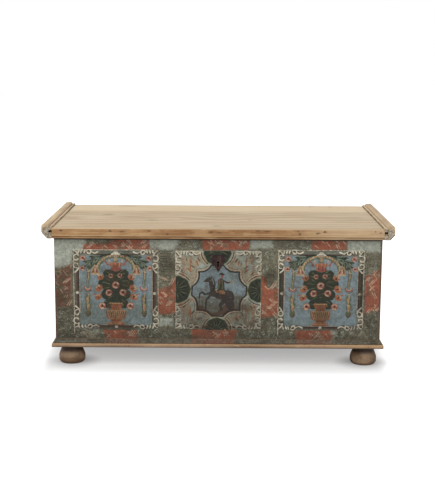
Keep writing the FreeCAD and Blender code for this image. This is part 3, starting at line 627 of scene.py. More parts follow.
def flow(points, count=8):
    """Points on a smooth curve through the given ones, by the Catmull-Rom formula."""
    p = np.array([points[0]] + list(points) + [points[-1]], float)
    t = np.linspace(0, 1, count, endpoint=False)[:, None]
    runs = [
        (2 * b + (c - a) * t + (2 * a - 5 * b + 4 * c - d) * t ** 2 + (3 * b - a - 3 * c + d) * t ** 3) / 2
        for a, b, c, d in zip(p, p[1:], p[2:], p[3:])
    ]
    return np.concatenate(runs + [p[-1:]])


def curl(x, z, radius, start, turns, tight=0.2, count=18):
    """Points of a scroll: the angle runs on evenly while the radius falls to its tight share."""
    t = np.linspace(0, 1, count)
    angle = start + turns * 2 * math.pi * t
    r = radius * (1 - (1 - tight) * t)
    return np.stack([x + r * np.cos(angle), z + r * np.sin(angle)], 1)


def leaf(x, z, long, wide, turn):
    """A pointed leaf from its stalk: half its width follows a sine along its length."""
    tip_x, tip_z = towards(x, z, long, turn)

    def distance(px, pz):
        u, v = along_and_aside(px, pz, x, z, turn)
        half = wide / 2 * np.sin(np.pi * np.clip(u / long, 0, 1) ** 0.8)
        return np.maximum(np.abs(v) - half, np.maximum(-u, u - long))

    return distance, (min(x, tip_x) - wide, max(x, tip_x) + wide, min(z, tip_z) - wide, max(z, tip_z) + wide)


def shape(points):
    """A filled outline: the distance to its nearest side, negative where a line out of the point
    crosses the outline an odd number of times."""
    points = np.array(points, float)
    # Painted highlight along the top of the strip, and painted shade along its lower edge.

    def distance(px, pz):
        best, inside = np.inf, np.zeros(np.broadcast(px, pz).shape, bool)
        for a, b in zip(points, np.roll(points, -1, 0)):
            best = np.minimum(best, nearest(px, pz, a, b)[0])
            d = b - a
            if d[1]:
                inside ^= ((a[1] > pz) != (b[1] > pz)) & (px < a[0] + d[0] * (pz - a[1]) / d[1])
        return np.where(inside, -best, best)

    low, high = points.min(0), points.max(0)
    return distance, (low[0], high[0], low[1], high[1])


def slab(x0, x1, z0, z1):
    # Painted shade, in the dirt colour, along the top of the hollow where it meets the board.
    return shape([(x0, z0), (x1, z0), (x1, z1), (x0, z1)])


def rim_of(drawn, width, out=0.0):
    """A line that follows the edge of a shape, out by so much from it."""
    inner, (x0, x1, z0, z1) = drawn
    reach = out + width
    box = (x0 - reach, x1 + reach, z0 - reach, z1 + reach)
    return (lambda px, pz: np.abs(inner(px, pz) - out) - width / 2), box


def without(drawn, *others):
    """A shape less some others."""
    inner, box = drawn
    return (lambda px, pz: np.maximum(inner(px, pz), -np.minimum.reduce([o[0](px, pz) for o in others]))), box


class Painting:
    """The distance to the edge of each colour, over a grid of places on a board, in millimetres."""

    # The distance where a colour is absent, and how far round a shape its distances are worked out.
    FAR = 30.0
    MARGIN = 9.0

    def __init__(self, across, up):
        self.across, self.up = across, up
        self.fields = {}
        self.at(0, 0)

    def at(self, x, z, flip=1, tip=1):
        """Sets the middle of the panel that the next shapes belong to, and whether they are mirrored."""
        self.middle, self.flip, self.tip = (x, z), flip, tip
        return self

    def corners(self):
        """Mirrors the next shapes into each corner of the panel in turn, and then not at all."""
        for flip in (-1, 1):
            for tip in (-1, 1):
                yield self.at(*self.middle, flip, tip)
        self.at(*self.middle)

    def field(self, name):
        if name not in self.fields:
            self.fields[name] = np.full((len(self.up), len(self.across)), self.FAR)
        return self.fields[name]

    def lay(self, paint, *drawn):
        """Adds shapes to a colour: the least distance counts."""
        field = self.field(paint)
        for distance, (x0, x1, z0, z1) in drawn:
            xs = sorted(self.middle[0] + self.flip * x for x in (x0, x1))
            zs = sorted(self.middle[1] + self.tip * z for z in (z0, z1))
            i = slice(*np.searchsorted(self.across, (xs[0] - self.MARGIN, xs[1] + self.MARGIN)))
            k = slice(*np.searchsorted(self.up, (zs[0] - self.MARGIN, zs[1] + self.MARGIN)))
            if i.start < i.stop and k.start < k.stop:
                px = (self.across[i][None] - self.middle[0]) * self.flip
                pz = (self.up[k][:, None] - self.middle[1]) * self.tip
                field[k, i] = np.minimum(field[k, i], distance(px, pz))

    def brush(self, paint, *line):
        """Adds one brush line to a colour."""
        self.lay(paint, stroke(*line))

    def filled(self):
        """Every field, with a far distance for each colour that isn't in the painting."""
        for name in (*PAINTS, "bare"):
            self.field(name)
        for name in ("cool", "dirt"):
            self.fields.setdefault(name, np.zeros((len(self.up), len(self.across))))
        return self.fields


def rose(art, x, z, r, turn=0.0):
    """A rose: a dull red bloom, pale petals with gaps between them, and a dark heart."""
    art.lay("rose", oval(x, z, r, 0.94 * r, turn))
    petals = 0.66 * r
    art.lay("blush", stroke(curl(x, z, petals, turn, 0.36, 1.0, 9), 0.42 * r, 0.3 * r),
            stroke(curl(x, z, petals, turn + 2.8, 0.3, 1.0, 8), 0.3 * r, 0.42 * r))
    for k in range(3):
        a = turn + 0.9 + 2.0 * k
        art.brush("line", [towards(x, z, 0.45 * r, a), towards(x, z, 0.95 * r, a + 0.3)], 1.6, 0.9)
    art.lay("line", oval(x + 0.06 * r, z + 0.05 * r, 0.26 * r, 0.2 * r, turn))


def bloom(art, x, z, r, turn=0.0):
    """A side bloom: an orange cup with dark veins and a pale lip."""
    art.lay("terracotta", oval(x, z, r, 0.86 * r, turn))
    for k in (-1, 0, 1):
        a = turn + math.pi / 2 + 0.6 * k
        tip = towards(x, z, 0.8 * r, a)
        art.brush("line", [towards(x, z, -0.4 * r, a), tip], 1.8, 1.0)
        art.lay("blush", leaf(*tip, 0.6 * r, 0.4 * r, a + math.pi + 0.5))
    art.brush("ochre", curl(x, z, 0.86 * r, turn + 0.4, 0.3, 1.0, 7), 2.8, 1.6)


def frond(art, x, z, long, wide, turn):
    """A leaf with a light edge on one side and a dark vein."""
    art.lay("leaf", leaf(x, z, long, wide, turn))
    art.brush("line", [(x, z), towards(x, z, 0.85 * long, turn)], 1.5, 0.8)
    light = towards(*towards(x, z, 0.22 * long, turn), 0.28 * wide, turn + math.pi / 2)
    art.lay("sap", leaf(*light, 0.6 * long, 0.2 * wide, turn - 0.08))


# The bush of each bouquet, for its right half: where a leaf starts, how long it is and its angle.
BUSH_LEAVES = (
    (10, 56, 36, 0.62), (12, 54, 34, 0.12), (8, 30, 46, 0.55), (8, 26, 56, 0.1),
    (10, 18, 50, -0.3), (8, -6, 46, -0.1), (8, -14, 42, -0.62), (10, -38, 40, -0.6),
    (14, -44, 32, -1.15),
)
# Its roses, and the blooms at its right side: the middle, the radius and the turn of each.
BUSH_ROSES = (
    (-1, 17, 15, 0.4), (-27, -13, 14, 1.0), (26, -12, 14, 0.2), (-19, 52, 10, 0.7), (15, 54, 10, 0.1),
)
SIDE_BLOOMS = ((58, 47, 13, -0.5), (64, 4, 15, -0.9), (67, -29, 14, -0.6))


def bouquet(art):
    """A bush of broad leaves in round tiers, with roses, blooms at its sides and a tulip on top."""
    art.lay("leaf", oval(0, 20, 30, 50), oval(0, -28, 34, 32))
    for side in (-1, 1):
        art.lay("leaf", oval(side * 25, 62, 24, 15), oval(side * 37, 25, 30, 23),
                oval(side * 30, -18, 26, 22), oval(side * 29, -56, 18, 18))
        for x, z, long, a in BUSH_LEAVES:
            frond(art, side * x, z, long, 19, a if side > 0 else math.pi - a)
    for x, z, r, turn in BUSH_ROSES:
        rose(art, x, z, r, turn)
    for side in (-1, 1):
        for x, z, r, turn in SIDE_BLOOMS:
            bloom(art, side * x, z, r, side * turn)
        rose(art, side * 53, -64, 14, 0.5)
        art.lay("terracotta", leaf(side * 74, -22, 14, 6, 1.57 - side * 1.2))
    art.lay("terracotta", shape([(-15, 80), (15, 80), (13, 104), (-13, 104)]), leaf(-13, 84, 24, 9, 2.0),
            leaf(13, 84, 24, 9, 1.14))
    art.lay("rose", oval(0, 79, 20, 9), oval(-5, 91, 6, 6), oval(7, 89, 5, 6))
    for x, a in ((-13, 1.75), (0, 1.57), (12, 1.4)):
        art.brush("ochre", [(x, 78), (x + 16 * math.cos(a), 78 + 24 * math.sin(a))], 3.8, 2.4)
        art.brush("line", [(x + 4, 76), (x + 4 + 10 * math.cos(a), 76 + 16 * math.sin(a))], 1.5)
    art.lay("sap", oval(0, 109, 12, 4))
    for x in (-6, 0, 6):
        art.brush("mist", [(0.6 * x, 130), (x, 112)], 4.0, 4.6)
        art.brush("blush", [(0.6 * x, 130), (x, 112)], 1.4, 1.8)
    for side in (-1, 1):
        art.lay("rose", leaf(side * 26, 92, 16, 9, 1.57 - side * 0.8),
                leaf(side * 34, 104, 13, 7, 1.57 - side))
        art.lay("blush", leaf(side * 22, 104, 14, 5, 1.57 - side * 0.4))


def urn(art):
    """A fluted urn on a foot: a rim, a straight neck, a tub of a body with flutes, and a foot."""
    neck = [(25, -51), (24, -62), (19, -68), (18, -82)]
    body = [(37, -80), *flow([(38, -88), (37, -102), (30, -113), (16, -119)])]
    foot = [(14, -116), (19, -125), (31, -130), (31, -139)]
    for right in (neck, body, foot):
        art.lay("terracotta", shape([*right, *((-x, z) for x, z in right[::-1])]))
    for k in range(-4, 5):
        x = 8.2 * k
        art.brush("ochre", [(x, -86), (0.74 * x, -113)], 3.4, 2.4)
        art.brush("line", [(x + 3.6, -87), (0.74 * x + 2.6, -112)], 1.7, 1.2)
    for x in (-10, 0, 10):
        art.brush("line", [(x, -66), (0.9 * x, -79)], 1.4)
    art.lay("ochre", stroke([(-23, -54), (23, -54)], 3.2), stroke([(-34, -82), (34, -82)], 2.6),
            stroke([(-26, -131), (26, -131)], 2.4))
    art.lay("line", stroke([(-24, -60), (24, -60)], 1.6), stroke([(-17, -119), (17, -119)], 2.4),
            stroke([(-37, -82), (-36, -102), (-28, -114)], 2.2, 1.4), stroke([(-30, -138), (30, -138)], 1.6))


def arch(art):
    """An arch of ochre and green lines over the bouquet, with small painted blocks at its springing."""
    t = np.linspace(0, math.pi, 25)
    for side in (-1, 1):
        half = slice(0, 13) if side > 0 else slice(12, 25)
        for wide, high, paint, width in ((71, 55, "ochre", 8.0), (64, 48, "sap", 5.0), (72, 56, "blush", 2.0),
                                         (77, 61, "umber", 2.2)):
            line = np.stack([wide * np.cos(t), 76 + high * np.sin(t)], 1)[half]
            art.brush(paint, line, width)
        for k in range(7):
            a = 0.32 + 0.17 * k
            b = a + 0.06
            art.lay("line", stroke([(side * 66 * math.cos(a), 76 + 50 * math.sin(a)),
                                    (side * 75 * math.cos(b), 76 + 59 * math.sin(b))], 1.8, 1.0))
        x = side * 78
        art.lay("ochre", shape([(x - 17, 58), (x + 17, 58), (x + 10, 90), (x - 4, 95), (x - 12, 78)]))
        art.lay("rose", leaf(x + 9, 63, 26, 11, 2.1), leaf(x - 10, 63, 18, 8, 0.9))
        art.lay("blush", leaf(x + 2, 63, 26, 6, 1.7), stroke([(x - 14, 58), (x + 14, 58)], 3.6))
        art.brush("line", [(x - 13, 62), (x, 89), (x + 12, 62)], 1.5)
    art.lay("cream", oval(0, 140, 9, 6.5), leaf(-5, 138, 15, 7, 3.5), leaf(5, 138, 15, 7, -0.35))
    art.lay("ochre", leaf(-4, 124, 18, 8, -1.1), leaf(4, 124, 18, 8, -2.0))


# The right garland: its stem, and where each leaf starts, how long it is and its angle.
GARLAND_STEM = ((10, 132), (44, 128), (80, 117), (106, 100))
GARLAND_LEAVES = (
    (38, 128, 34, -0.75), (58, 124, 38, -1.0), (78, 118, 34, -1.3), (96, 107, 28, -1.5), (54, 127, 50, -0.06),
    (84, 115, 44, -0.25), (100, 104, 28, -0.75),
)


def sprays(art):
    """Two garlands of dark leaves that hang outwards from the crown of the arch, with roses beyond."""
    for side in (-1, 1):
        art.brush("leaf", flow([(side * x, z) for x, z in GARLAND_STEM]), 12, 17)
        art.lay("leaf", oval(side * 74, 108, 13, 9, side * -0.8), oval(side * 98, 92, 10, 14, side * 0.3))
        for x, z, long, a in GARLAND_LEAVES:
            a = a if side > 0 else math.pi - a
            frond(art, side * x, z, long, 13, a)
            art.lay("stone", leaf(side * x, z - 5, 0.9 * long, 15, a - side * 0.1))
            art.lay("mist", leaf(side * x, z + 1, 0.95 * long, 6.4, a + side * 0.12),
                    leaf(side * x, z - 4, 0.7 * long, 4.0, a - side * 0.16))
        rose(art, side * 124, 120, 11.5, 0.3)
        rose(art, side * 127, 81, 10, 0.9)
        art.brush("blush", [(side * 112, 66), (side * 98, 72)], 4, 2)


def pendants(art):
    """A hanging string on each side: a strand, a red crescent, a second strand and a bud."""
    for side in (-1, 1):
        x = side * 106
        art.brush("stone", flow([(x + 1, 80), (x + 4, 52), (x, 28), (x, 8)]), 13, 9)
        art.brush("sap", flow([(x + 2, 78), (x + 5, 52), (x, 28), (x, 10)]), 7, 4.5)
        art.brush("ochre", flow([(x, 78), (x + 3, 52), (x - 2, 28), (x, 10)]), 3.6, 2.6)
        art.brush("line", flow([(x - 3, 74), (x - 1, 48), (x - 5, 20)]), 1.4)
        art.brush("rose", curl(x, 9, 12.5, -3.0, 0.46, 1.0, 9), 7, 5)
        art.brush("blush", curl(x, 10, 10, -2.9, 0.40, 1.0, 9), 3.2)
        art.brush("line", curl(x, 7, 17, -2.7, 0.36, 1.0, 9), 1.6)
        art.lay("stone", oval(x - 1, -36, 11, 19), oval(x + 1, -62, 12, 19))
        art.lay("sap", oval(x - 1, -36, 8, 14), oval(x + 1, -62, 9, 14))
        art.lay("ochre", stroke(flow([(x, -14), (x + 2, -36), (x - 3, -60), (x, -82)]), 3.8, 3.4),
                oval(x - 3, -36, 3, 7), oval(x + 2, -62, 3, 7))
        art.lay("terracotta", leaf(x - 4, -28, 24, 7, -1.5), leaf(x + 3, -58, 24, 7, -1.6))
        art.lay("line", stroke([(x + 5, -30), (x + 5, -54)], 1.6), stroke([(x - 6, -58), (x - 6, -80)], 1.6))
        art.lay("umber", oval(x, -92, 10, 15))
        art.lay("sap", oval(x - 2, -90, 7, 11), leaf(x, -80, 16, 7, -2.4), leaf(x, -80, 16, 7, -0.7))


def frame_bands(art, wide, high, outer):
    """The light outer line and, in the middle of each side, a band of two colours between lines."""
    art.brush("cream", [(-wide, -high - 22), (-wide, high), (wide, high), (wide, -high + 8)], 2.2, 1.8)
    art.brush("stone", [(-wide, -high), (wide, -high)], 3.0)
    for side in (-1, 1):
        art.lay(outer, slab(side * (wide - 4), side * (wide - 12), -88, 82))
        art.lay("umber", slab(side * (wide - 9), side * (wide - 19), -88, 82))
        art.lay("line", stroke([(side * (wide - 18), -88), (side * (wide - 18), 82)], 3.4),
                stroke([(side * (wide - 4), -88), (side * (wide - 4), 82)], 1.4))
        art.brush("blush", [(side * (wide - 22), -88), (side * (wide - 22), 84)], 2.2, 1.6)
    art.lay("stone", slab(-84, 84, high - 16, high - 3))
    art.lay("celadon", slab(8, 84, high - 13, high - 6))
    art.lay("umber", slab(-80, 78, high - 20, high - 15), slab(-78, 80, -high + 3, -high + 12))
    art.lay("line", stroke([(-84, high - 20), (84, high - 20)], 2.0),
            stroke([(-74, -high + 10), (76, -high + 10)], 3))
    art.lay("blush", slab(-60, 62, -high + 13, -high + 15))
    for x, z in ((-wide + 13, -13), (wide - 13, -15), (0, -high + 7)):
        art.lay("cream", oval(x, z, 6.4, 5.4))


def corner_scrolls(art, wide, high, seed):
    """White scrolls of leaf in each corner: two curls down the side that make an S, a loop and a tail
    along the top, and slanting leaves between them, all on dark strokes."""
    rng = np.random.default_rng(seed)
    for corner in art.corners():
        off = rng.uniform(-2.5, 2.5, 12)
        for line in (
            curl(wide - 10 + off[0], high - 33 + off[1], 13, 2.2, -0.74, 0.62),
            curl(wide - 11 + off[2], high - 60 + off[3], 12, -1.9, 0.72, 0.55),
            flow([(wide - 20, high - 62), (wide - 16 + off[4], high - 74), (wide - 6, high - 86)]),
            curl(wide - 58 + off[5], high - 9 + off[6], 10, 0.2, 0.9, 0.55),
            flow([(wide - 67, high - 7), (wide - 78 + off[7], high - 13), (wide - 92, high - 7)]),
            flow([(wide - 2, high - 4), (wide - 11 + off[8], high - 9), (wide - 17, high - 20)]),
        ):
            corner.brush("umber", line + (2.4, -2.8), 7.0, 3.4)
            corner.brush("line", line + (1.8, -2.2), 4.0, 2.0)
            corner.brush("cream", line, 3.2, 6.0)
        for k in range(3):
            x, z = wide - 16 - 11 * k + off[9 + k] * 0.6, high - 14
            corner.lay("line", leaf(x + 3, z - 2, 16, 5.4, 1.95))
            corner.lay("cream", leaf(x, z, 17, 6.6, 1.95))


def flower_panel(art, wide, high, seed, outer):
    """A side panel, from its blue ground to the scrolls in its corners."""
    art.lay("blue", slab(-wide + 23, wide - 23, -high + 12, high - 20))
    frame_bands(art, wide, high, outer)
    arch(art)
    sprays(art)
    pendants(art)
    urn(art)
    bouquet(art)
    corner_scrolls(art, wide, high, seed)


def star_outline():
    """The star of the middle panel: arcs that bow inwards between the cusps of its corners and the
    four fans that cut into its sides."""
    ring = [(20, 96), (79, 71), (108, 14), (105, -20), (82, -77), (18, -101), (-25, -99), (-80, -77),
            (-100, -20), (-98, 14), (-73, 71), (-26, 96)]
    points = []
    for k, (a, b) in enumerate(zip(ring, ring[1:] + ring[:1])):
        a, b = np.array(a, float), np.array(b, float)
        depth = 0.0 if k % 6 in (2, 5) else 0.17
        t = np.linspace(0, 1, 9)[:-1, None]
        inward = -(a + b) / np.linalg.norm(a + b)
        points.append(a + (b - a) * t + inward * depth * np.linalg.norm(b - a) * 4 * t * (1 - t))
    return np.concatenate(points)


def fan(art, x, z, r, turn):
    """A half round of dark leaves with a scalloped light edge, that opens towards turn, between two
    pale arcs that run on from the star."""
    t = np.linspace(-math.pi / 2, math.pi / 2, 57)
    edge = r * (1 - 0.05 * np.abs(np.sin(4.5 * t))) * (1 - 0.08 * (np.abs(t) / 1.57) ** 4)
    outline = np.stack([x + edge * np.cos(t + turn), z + edge * np.sin(t + turn)], 1)
    art.lay("leaf", shape(outline))
    art.brush("sap", outline, 2.2)
    for side in (-1, 1):
        a = turn + side * np.linspace(0.62, 1.5, 12)
        for out, paint, width in ((6, "line", 3.0), (10.5, "blush", 2.6), (14, "line", 1.2)):
            art.brush(paint, np.stack([x + (r + out) * np.cos(a), z + (r + out) * np.sin(a)], 1), width)
    for k in range(-3, 4):
        a = turn + 0.42 * k
        art.lay("sap", leaf(*towards(x, z, 0.25 * r, a), (0.42 + 0.1 * (k % 3)) * r, 1.6 + 1.2 * (k % 2),
                            a + 0.09 * math.sin(5 * k)))
        art.lay("line", leaf(*towards(x, z, 0.3 * r, a + 0.2), 0.6 * r, 5.0, a + 0.2))


def rider(art):
    """A rider on a rearing horse, in plain dark shapes, with grey ground and a few upright stems."""
    art.lay("stone", shape([(-92, -26), (-60, -22), (-20, -34), (30, -28), (60, -14), (96, -22), (84, -78),
                            (26, -99), (-26, -99), (-84, -78)]))
    art.lay("umber", shape([(-84, -76), (-74, -58), (-52, -66), (-24, -88), (4, -84), (20, -58), (58, -50),
                            (64, -76), (24, -97), (-24, -97)]))
    art.lay("umber", stroke([(-60, -38), (-58, -70)], 3.0), stroke([(-72, -36), (-70, -66)], 2.4))
    for x in (57, 63, 69, 75, 81):
        art.brush("umber", [(x, -16 - 0.1 * x), (x + 1, -66)], 2.2, 1.6)
    art.lay("slate", oval(-4, -14, 30, 15, -0.15), oval(34, -26, 24, 28, 0.25), oval(14, -20, 26, 17, -0.2),
            oval(44, -52, 17, 22, 0.2))
    art.brush("slate", flow([(-16, -8), (-24, 14), (-30, 38)]), 25, 13)
    art.lay("slate", leaf(-26, 46, 34, 14, -2.7), leaf(-31, 44, 11, 6, 1.9), leaf(-25, 43, 10, 5, 1.4))
    for line in ([(34, -40), (46, -56), (42, -72), (50, -76)], [(20, -42), (8, -58), (12, -74), (2, -82)]):
        art.brush("slate", line, 17, 6)
        art.brush("line", line[-2:], 5)
    for line in ([(-24, -10), (-50, -16), (-60, -8), (-70, -14), (-71, -32)],
                 [(-30, -20), (-44, -36), (-47, -52), (-47, -70)]):
        art.brush("slate", line, 9, 5)
        art.brush("line", line[1:], 3.4, 4.4)
    art.brush("slate", flow([(50, -8), (57, -28), (55, -62)]), 9, 5)
    art.lay("line", stroke(flow([(-20, 0), (-12, 20), (-18, 42)]), 6, 4), stroke([(-40, 33), (-46, 30)], 2.4))
    art.lay("leaf", shape([(0, 40), (8, 46), (18, 44), (22, 34), (25, 2), (8, -4), (-2, 6)]))
    art.lay("sap", stroke([(14, 40), (17, 6)], 5.0, 4), oval(0, 14, 5, 8))
    art.lay("umber", stroke([(22, 36), (34, 29), (46, 30)], 8, 6),
            stroke([(4, 2), (-6, -12), (-6, -30)], 10, 6))
    art.lay("rose", oval(15, 53, 4.6, 6.4), stroke([(5, 26), (6, 40)], 6, 5))
    art.lay("line", oval(14, 61, 10, 3.4, -0.2), oval(13, 64, 5.5, 3.6), stroke([(26, 32), (44, 30)], 2.4))
    art.lay("ochre", stroke([(46, 31), (55, 34)], 5, 3), stroke([(56, 36), (57, 14)], 2.6, 1.8))
    art.lay("terracotta", oval(14, -8, 13, 7.5, -0.25))
    art.lay("ochre", oval(18, -8, 6, 5), stroke([(-10, 4), (-4, -8)], 4, 3))
    art.lay("line", stroke([(-4, -16), (28, -20)], 1.8), stroke([(-28, 6), (-4, 8)], 1.6))


def star_panel(art, wide, high, seed):
    """The middle panel: a pale ground with red and grey strokes, four dark fans, and a star with a
    rider in it."""
    art.lay("putty", slab(-wide, wide, -high, high))
    star = shape(star_outline())
    rng = np.random.default_rng(seed)
    for corner in art.corners():
        for k in range(8):
            z = 60 + 8 * k
            corner.brush("terracotta", [(128, z), (139 + rng.uniform(-2, 2), z + 1)], 2.8, 1.8)
        corner.brush("terracotta", [(104, 70), (106, 120)], 4.0, 2.6)
        for k in range(9):
            x, z = 132 - 10 * k + rng.uniform(-5, 5), 48 + 8 * k + rng.uniform(-5, 5)
            a = 0.85 + rng.uniform(-0.4, 0.4)
            corner.lay(("terracotta", "umber", "ochre")[k % 3], leaf(x, z, 24, 5, a))
        for k in range(6):
            x, z = 120 - 9 * k + rng.uniform(-4, 4), 126 - 4 * k + rng.uniform(-4, 4)
            corner.brush(("umber", "blush")[k % 2], [(x, z), (x - 3, z - 16)], 2.6, 1.4)
    art.lay("blue", star)
    art.lay("line", rim_of(star, 5.6))
    # Each fan: its middle, its radius, how far the lines round the star keep off, and where it opens.
    fans = ((-3, high + 1, 56, 12, -math.pi / 2), (-5, -high - 4, 48, 12, math.pi / 2),
            (-wide, 2, 57, 13, 0), (wide, 0, 50, 14, math.pi))
    clear = [oval(x, z, r + off) for x, z, r, off, _ in fans]
    art.lay("blush", without(rim_of(star, 3.0, 7.0), *clear))
    art.lay("line", without(rim_of(star, 1.6, 11.0), *clear))
    for x, z, r, _, turn in fans:
        fan(art, x, z, r, turn)
    art.lay("umber", leaf(0, high - 6, 74, 40, -math.pi / 2), slab(-88, -50, -high + 2, -high + 10),
            slab(42, 96, -high + 2, -high + 10))
    rider(art)
    corner_scrolls(art, wide, high, seed + 1)
    art.lay("cream", slab(-wide, -60, high - 1.3, high + 1.3), slab(64, wide, high - 1.3, high + 1.3))
    for side in (-1, 1):
        art.lay("cream", slab(side * wide - 1.2, side * wide + 1.2, -high, -50),
                slab(side * wide - 1.2, side * wide + 1.2, 60, high))


# Red and pale parts of the ground, on the front board: corners in millimetres along X and up Z.
MADDER_PARTS = (
    [(-508, 468), (-408, 472), (-402, 494), (-256, 494), (-258, 449), (-508, 446)],
    [(-436, 140), (-306, 137), (-306, 100), (-422, 100)],
    [(-620, 362), (-596, 365), (-570, 378), (-556, 390), (-556, 226), (-620, 230)],
    [(-228, 300), (-182, 308), (-168, 330), (-158, 352), (-158, 208), (-196, 200), (-228, 196)],
    [(-58, 490), (116, 492), (116, 450), (-58, 448)],
    [(-102, 142), (74, 140), (62, 100), (-96, 100)],
    [(164, 352), (180, 346), (184, 306), (230, 302), (230, 204), (198, 192), (164, 188)],
    [(350, 490), (482, 492), (486, 452), (350, 450)],
    [(292, 140), (436, 142), (442, 120), (432, 100), (298, 100)],
    [(556, 352), (582, 362), (620, 384), (620, 214), (590, 222), (556, 204)],
)
COOL_PARTS = (
    [(-640, 520), (-500, 520), (-500, 444), (-540, 440), (-556, 386), (-640, 366)],
    [(-262, 520), (-138, 520), (-142, 456), (-190, 444), (-222, 446), (-256, 450)],
    [(484, 520), (640, 520), (640, 440), (556, 444), (556, 448), (490, 448)],
    [(120, 500), (210, 500), (206, 456), (120, 452)],
    [(-226, 190), (-168, 186), (-166, 150), (-226, 150)],
)
# Parts of the ground with loose brush curls: from and to along X, and up Z.
GROUND_PARTS = (
    (-610, -556, 110, 235), (-610, -556, 380, 490), (-560, 560, 106, 138), (-560, 560, 452, 490),
    (-222, -166, 110, 220), (-222, -166, 350, 450), (168, 222, 110, 190), (168, 222, 350, 450),
    (560, 610, 110, 210), (560, 610, 385, 490),
)
# Dirtier parts of the front: the middle and the reach of each along X and Z, and how dirty it is.
DIRTY_PARTS = (
    (90, 385, 75, 60, 0.38), (-100, 195, 70, 60, 0.5), (100, 195, 70, 60, 0.46), (0, 355, 60, 40, 0.26),
    (-14, 116, 110, 24, 0.42), (-592, 305, 46, 90, 0.36), (0, 108, 800, 22, 0.4), (-388, 310, 70, 75, 0.25),
    (388, 310, 60, 70, 0.26), (536, 296, 16, 100, 0.3), (234, 290, 14, 90, 0.2), (-240, 290, 12, 100, 0.3),
    (0, 250, 60, 60, 0.15), (390, 198, 30, 44, 0.62), (-388, 206, 36, 36, 0.25), (-390, 476, 70, 16, 0.3),
    (-385, 148, 150, 12, 0.32), (400, 148, 130, 12, 0.2), (-194, 386, 30, 56, 0.42), (196, 340, 26, 30, 0.6),
    (600, 400, 30, 40, 0.3), (596, 150, 30, 50, 0.3), (-80, 152, 70, 10, 0.5), (90, 152, 60, 10, 0.5),
    (270, 470, 60, 20, 0.3),
)


def scribbles(art, x0, x1, z0, z1, count, seed, paint="celadon"):
    """Plain loose curls of the brush, strewn over a part of the ground."""
    rng = np.random.default_rng(seed)
    for x, z, r, a, n in zip(rng.uniform(x0, x1, count), rng.uniform(z0, z1, count),
                             rng.uniform(3, 9, count), rng.uniform(0, 2 * math.pi, count),
                             rng.uniform(0.25, 0.7, count)):
        art.brush(paint, curl(x, z, r, a, n * (1 if r > 6 else -1), 0.5, 7), 3.6, 1.6)


def slashes(art, x0, x1, z0, z1, count, seed, paint="blush"):
    """Plain slanting strokes of the brush, two by two, some of them crossed."""
    rng = np.random.default_rng(seed)
    for x, z, long, a, kind in zip(rng.uniform(x0, x1, count), rng.uniform(z0, z1, count),
                                   rng.uniform(12, 27, count), rng.uniform(0.6, 1.1, count),
                                   rng.integers(0, 4, count)):
        a = -a if kind % 2 else a
        dx, dz = long / 2 * math.cos(a), long / 2 * math.sin(a)
        art.brush(paint, [(x - dx, z - dz), (x + dx, z + dz)], 3.8, 1.8)
        if kind < 2:
            art.brush(paint, [(x + 8 - dx, z - dz), (x + 8 + dx, z + dz)], 3.2, 1.6)
        elif kind == 2:
            art.brush(paint, [(x - dx, z + dz), (x + dx, z - dz)], 3.2, 1.6)


def front_painting(across, up):
    """The whole front board: marbled ground, two flower panels and the star panel between them."""
    art = Painting(across, up)
    for corners in MADDER_PARTS:
        art.lay("madder", shape(corners))
    # Square millimetres of ground for each brush curl and for each slanting stroke, and how far round a
    # pale part its paleness fades.
    curl_ground, slash_ground, fade = 520, 900, 28
    cool = np.full((len(up), len(across)), 60.0)
    for corners in COOL_PARTS:
        cool = np.minimum(cool, shape(corners)[0](across[None], up[:, None]))
    for k, (x0, x1, z0, z1) in enumerate(GROUND_PARTS):
        count = round((x1 - x0) * (z1 - z0) / curl_ground)
        scribbles(art, x0, x1, z0, z1, count, 60 + k)
        if z0 < 380:
            scribbles(art, x0, x1, z0, z1, count, 80 + k, "sap")
    for paint in ("celadon", "sap"):
        art.fields[paint] = np.maximum(art.fields[paint], -art.fields["madder"])
    for k, corners in enumerate(MADDER_PARTS):
        xs, zs = zip(*corners)
        count = round((max(xs) - min(xs)) * (max(zs) - min(zs)) / slash_ground)
        slashes(art, min(xs) + 8, max(xs) - 8, min(zs) + 8, max(zs) - 8, count, 40 + k)
    slashes(art, -618, -560, 232, 384, 30, 77, "sap")
    slashes(art, -540, -444, 108, 136, 16, 78, "putty")
    slashes(art, 430, 560, 108, 136, 18, 79, "putty")
    art.brush("terracotta", flow([(-590, 367), (-572, 378), (-556, 391)]), 5, 4)
    art.brush("ochre", flow([(-618, 362), (-602, 362), (-590, 367)]), 5, 3)
    for k in range(10):
        z = 352 + 10 * k + (3 * k) % 5
        art.brush("leaf", [(-220 + (7 * k) % 9, z), (-176 + (5 * k) % 8, z - 2)], 2.6, 1.6)
    art.brush("rose", [(563, 350), (562, 216)], 7, 5)
    art.brush("terracotta", [(182, 346), (184, 206)], 4.0, 2.6)
    flower_panel(art.at(-385, 295.4), 159, 151.6, 5, "stone")
    flower_panel(art.at(388.6, 296), 160.6, 153, 6, "leaf")
    star_panel(art.at(1.2, 294.3), 160.4, 149.6, 7)
    art.at(0, 0)
    art.lay("bare", slab(609, 620, 100, 510), slab(-620, -614, 100, 400), slab(-620, -609, 100, 240),
            slab(-620, 620, 502, 512))
    art.fields["cool"] = np.clip(0.5 - cool / fade, 0, 1)
    art.fields["dirt"] = np.zeros((len(up), len(across)))
    for x, z, wide, high, amount in DIRTY_PARTS:
        away = np.hypot((across[None] - x) / wide, (up[:, None] - z) / high)
        art.fields["dirt"] = np.maximum(art.fields["dirt"], amount * np.clip(2 - 1.6 * away, 0, 1))
    return art


def end_painting(across, up):
    """A plain marbled end: only brush curls and worn edges."""
    art = Painting(across, up)
    low, high = across[0], across[-1]
    scribbles(art, low + 20, high - 20, 120, 480, 90, 21)
    scribbles(art, low + 20, high - 20, 120, 480, 90, 22, "sap")
    for edge in (low, high):
        art.lay("bare", slab(edge - 8, edge + 8, 100, 510))
    art.lay("bare", slab(low, high, 500, 512), slab(low, high, 98, 106))
    return art


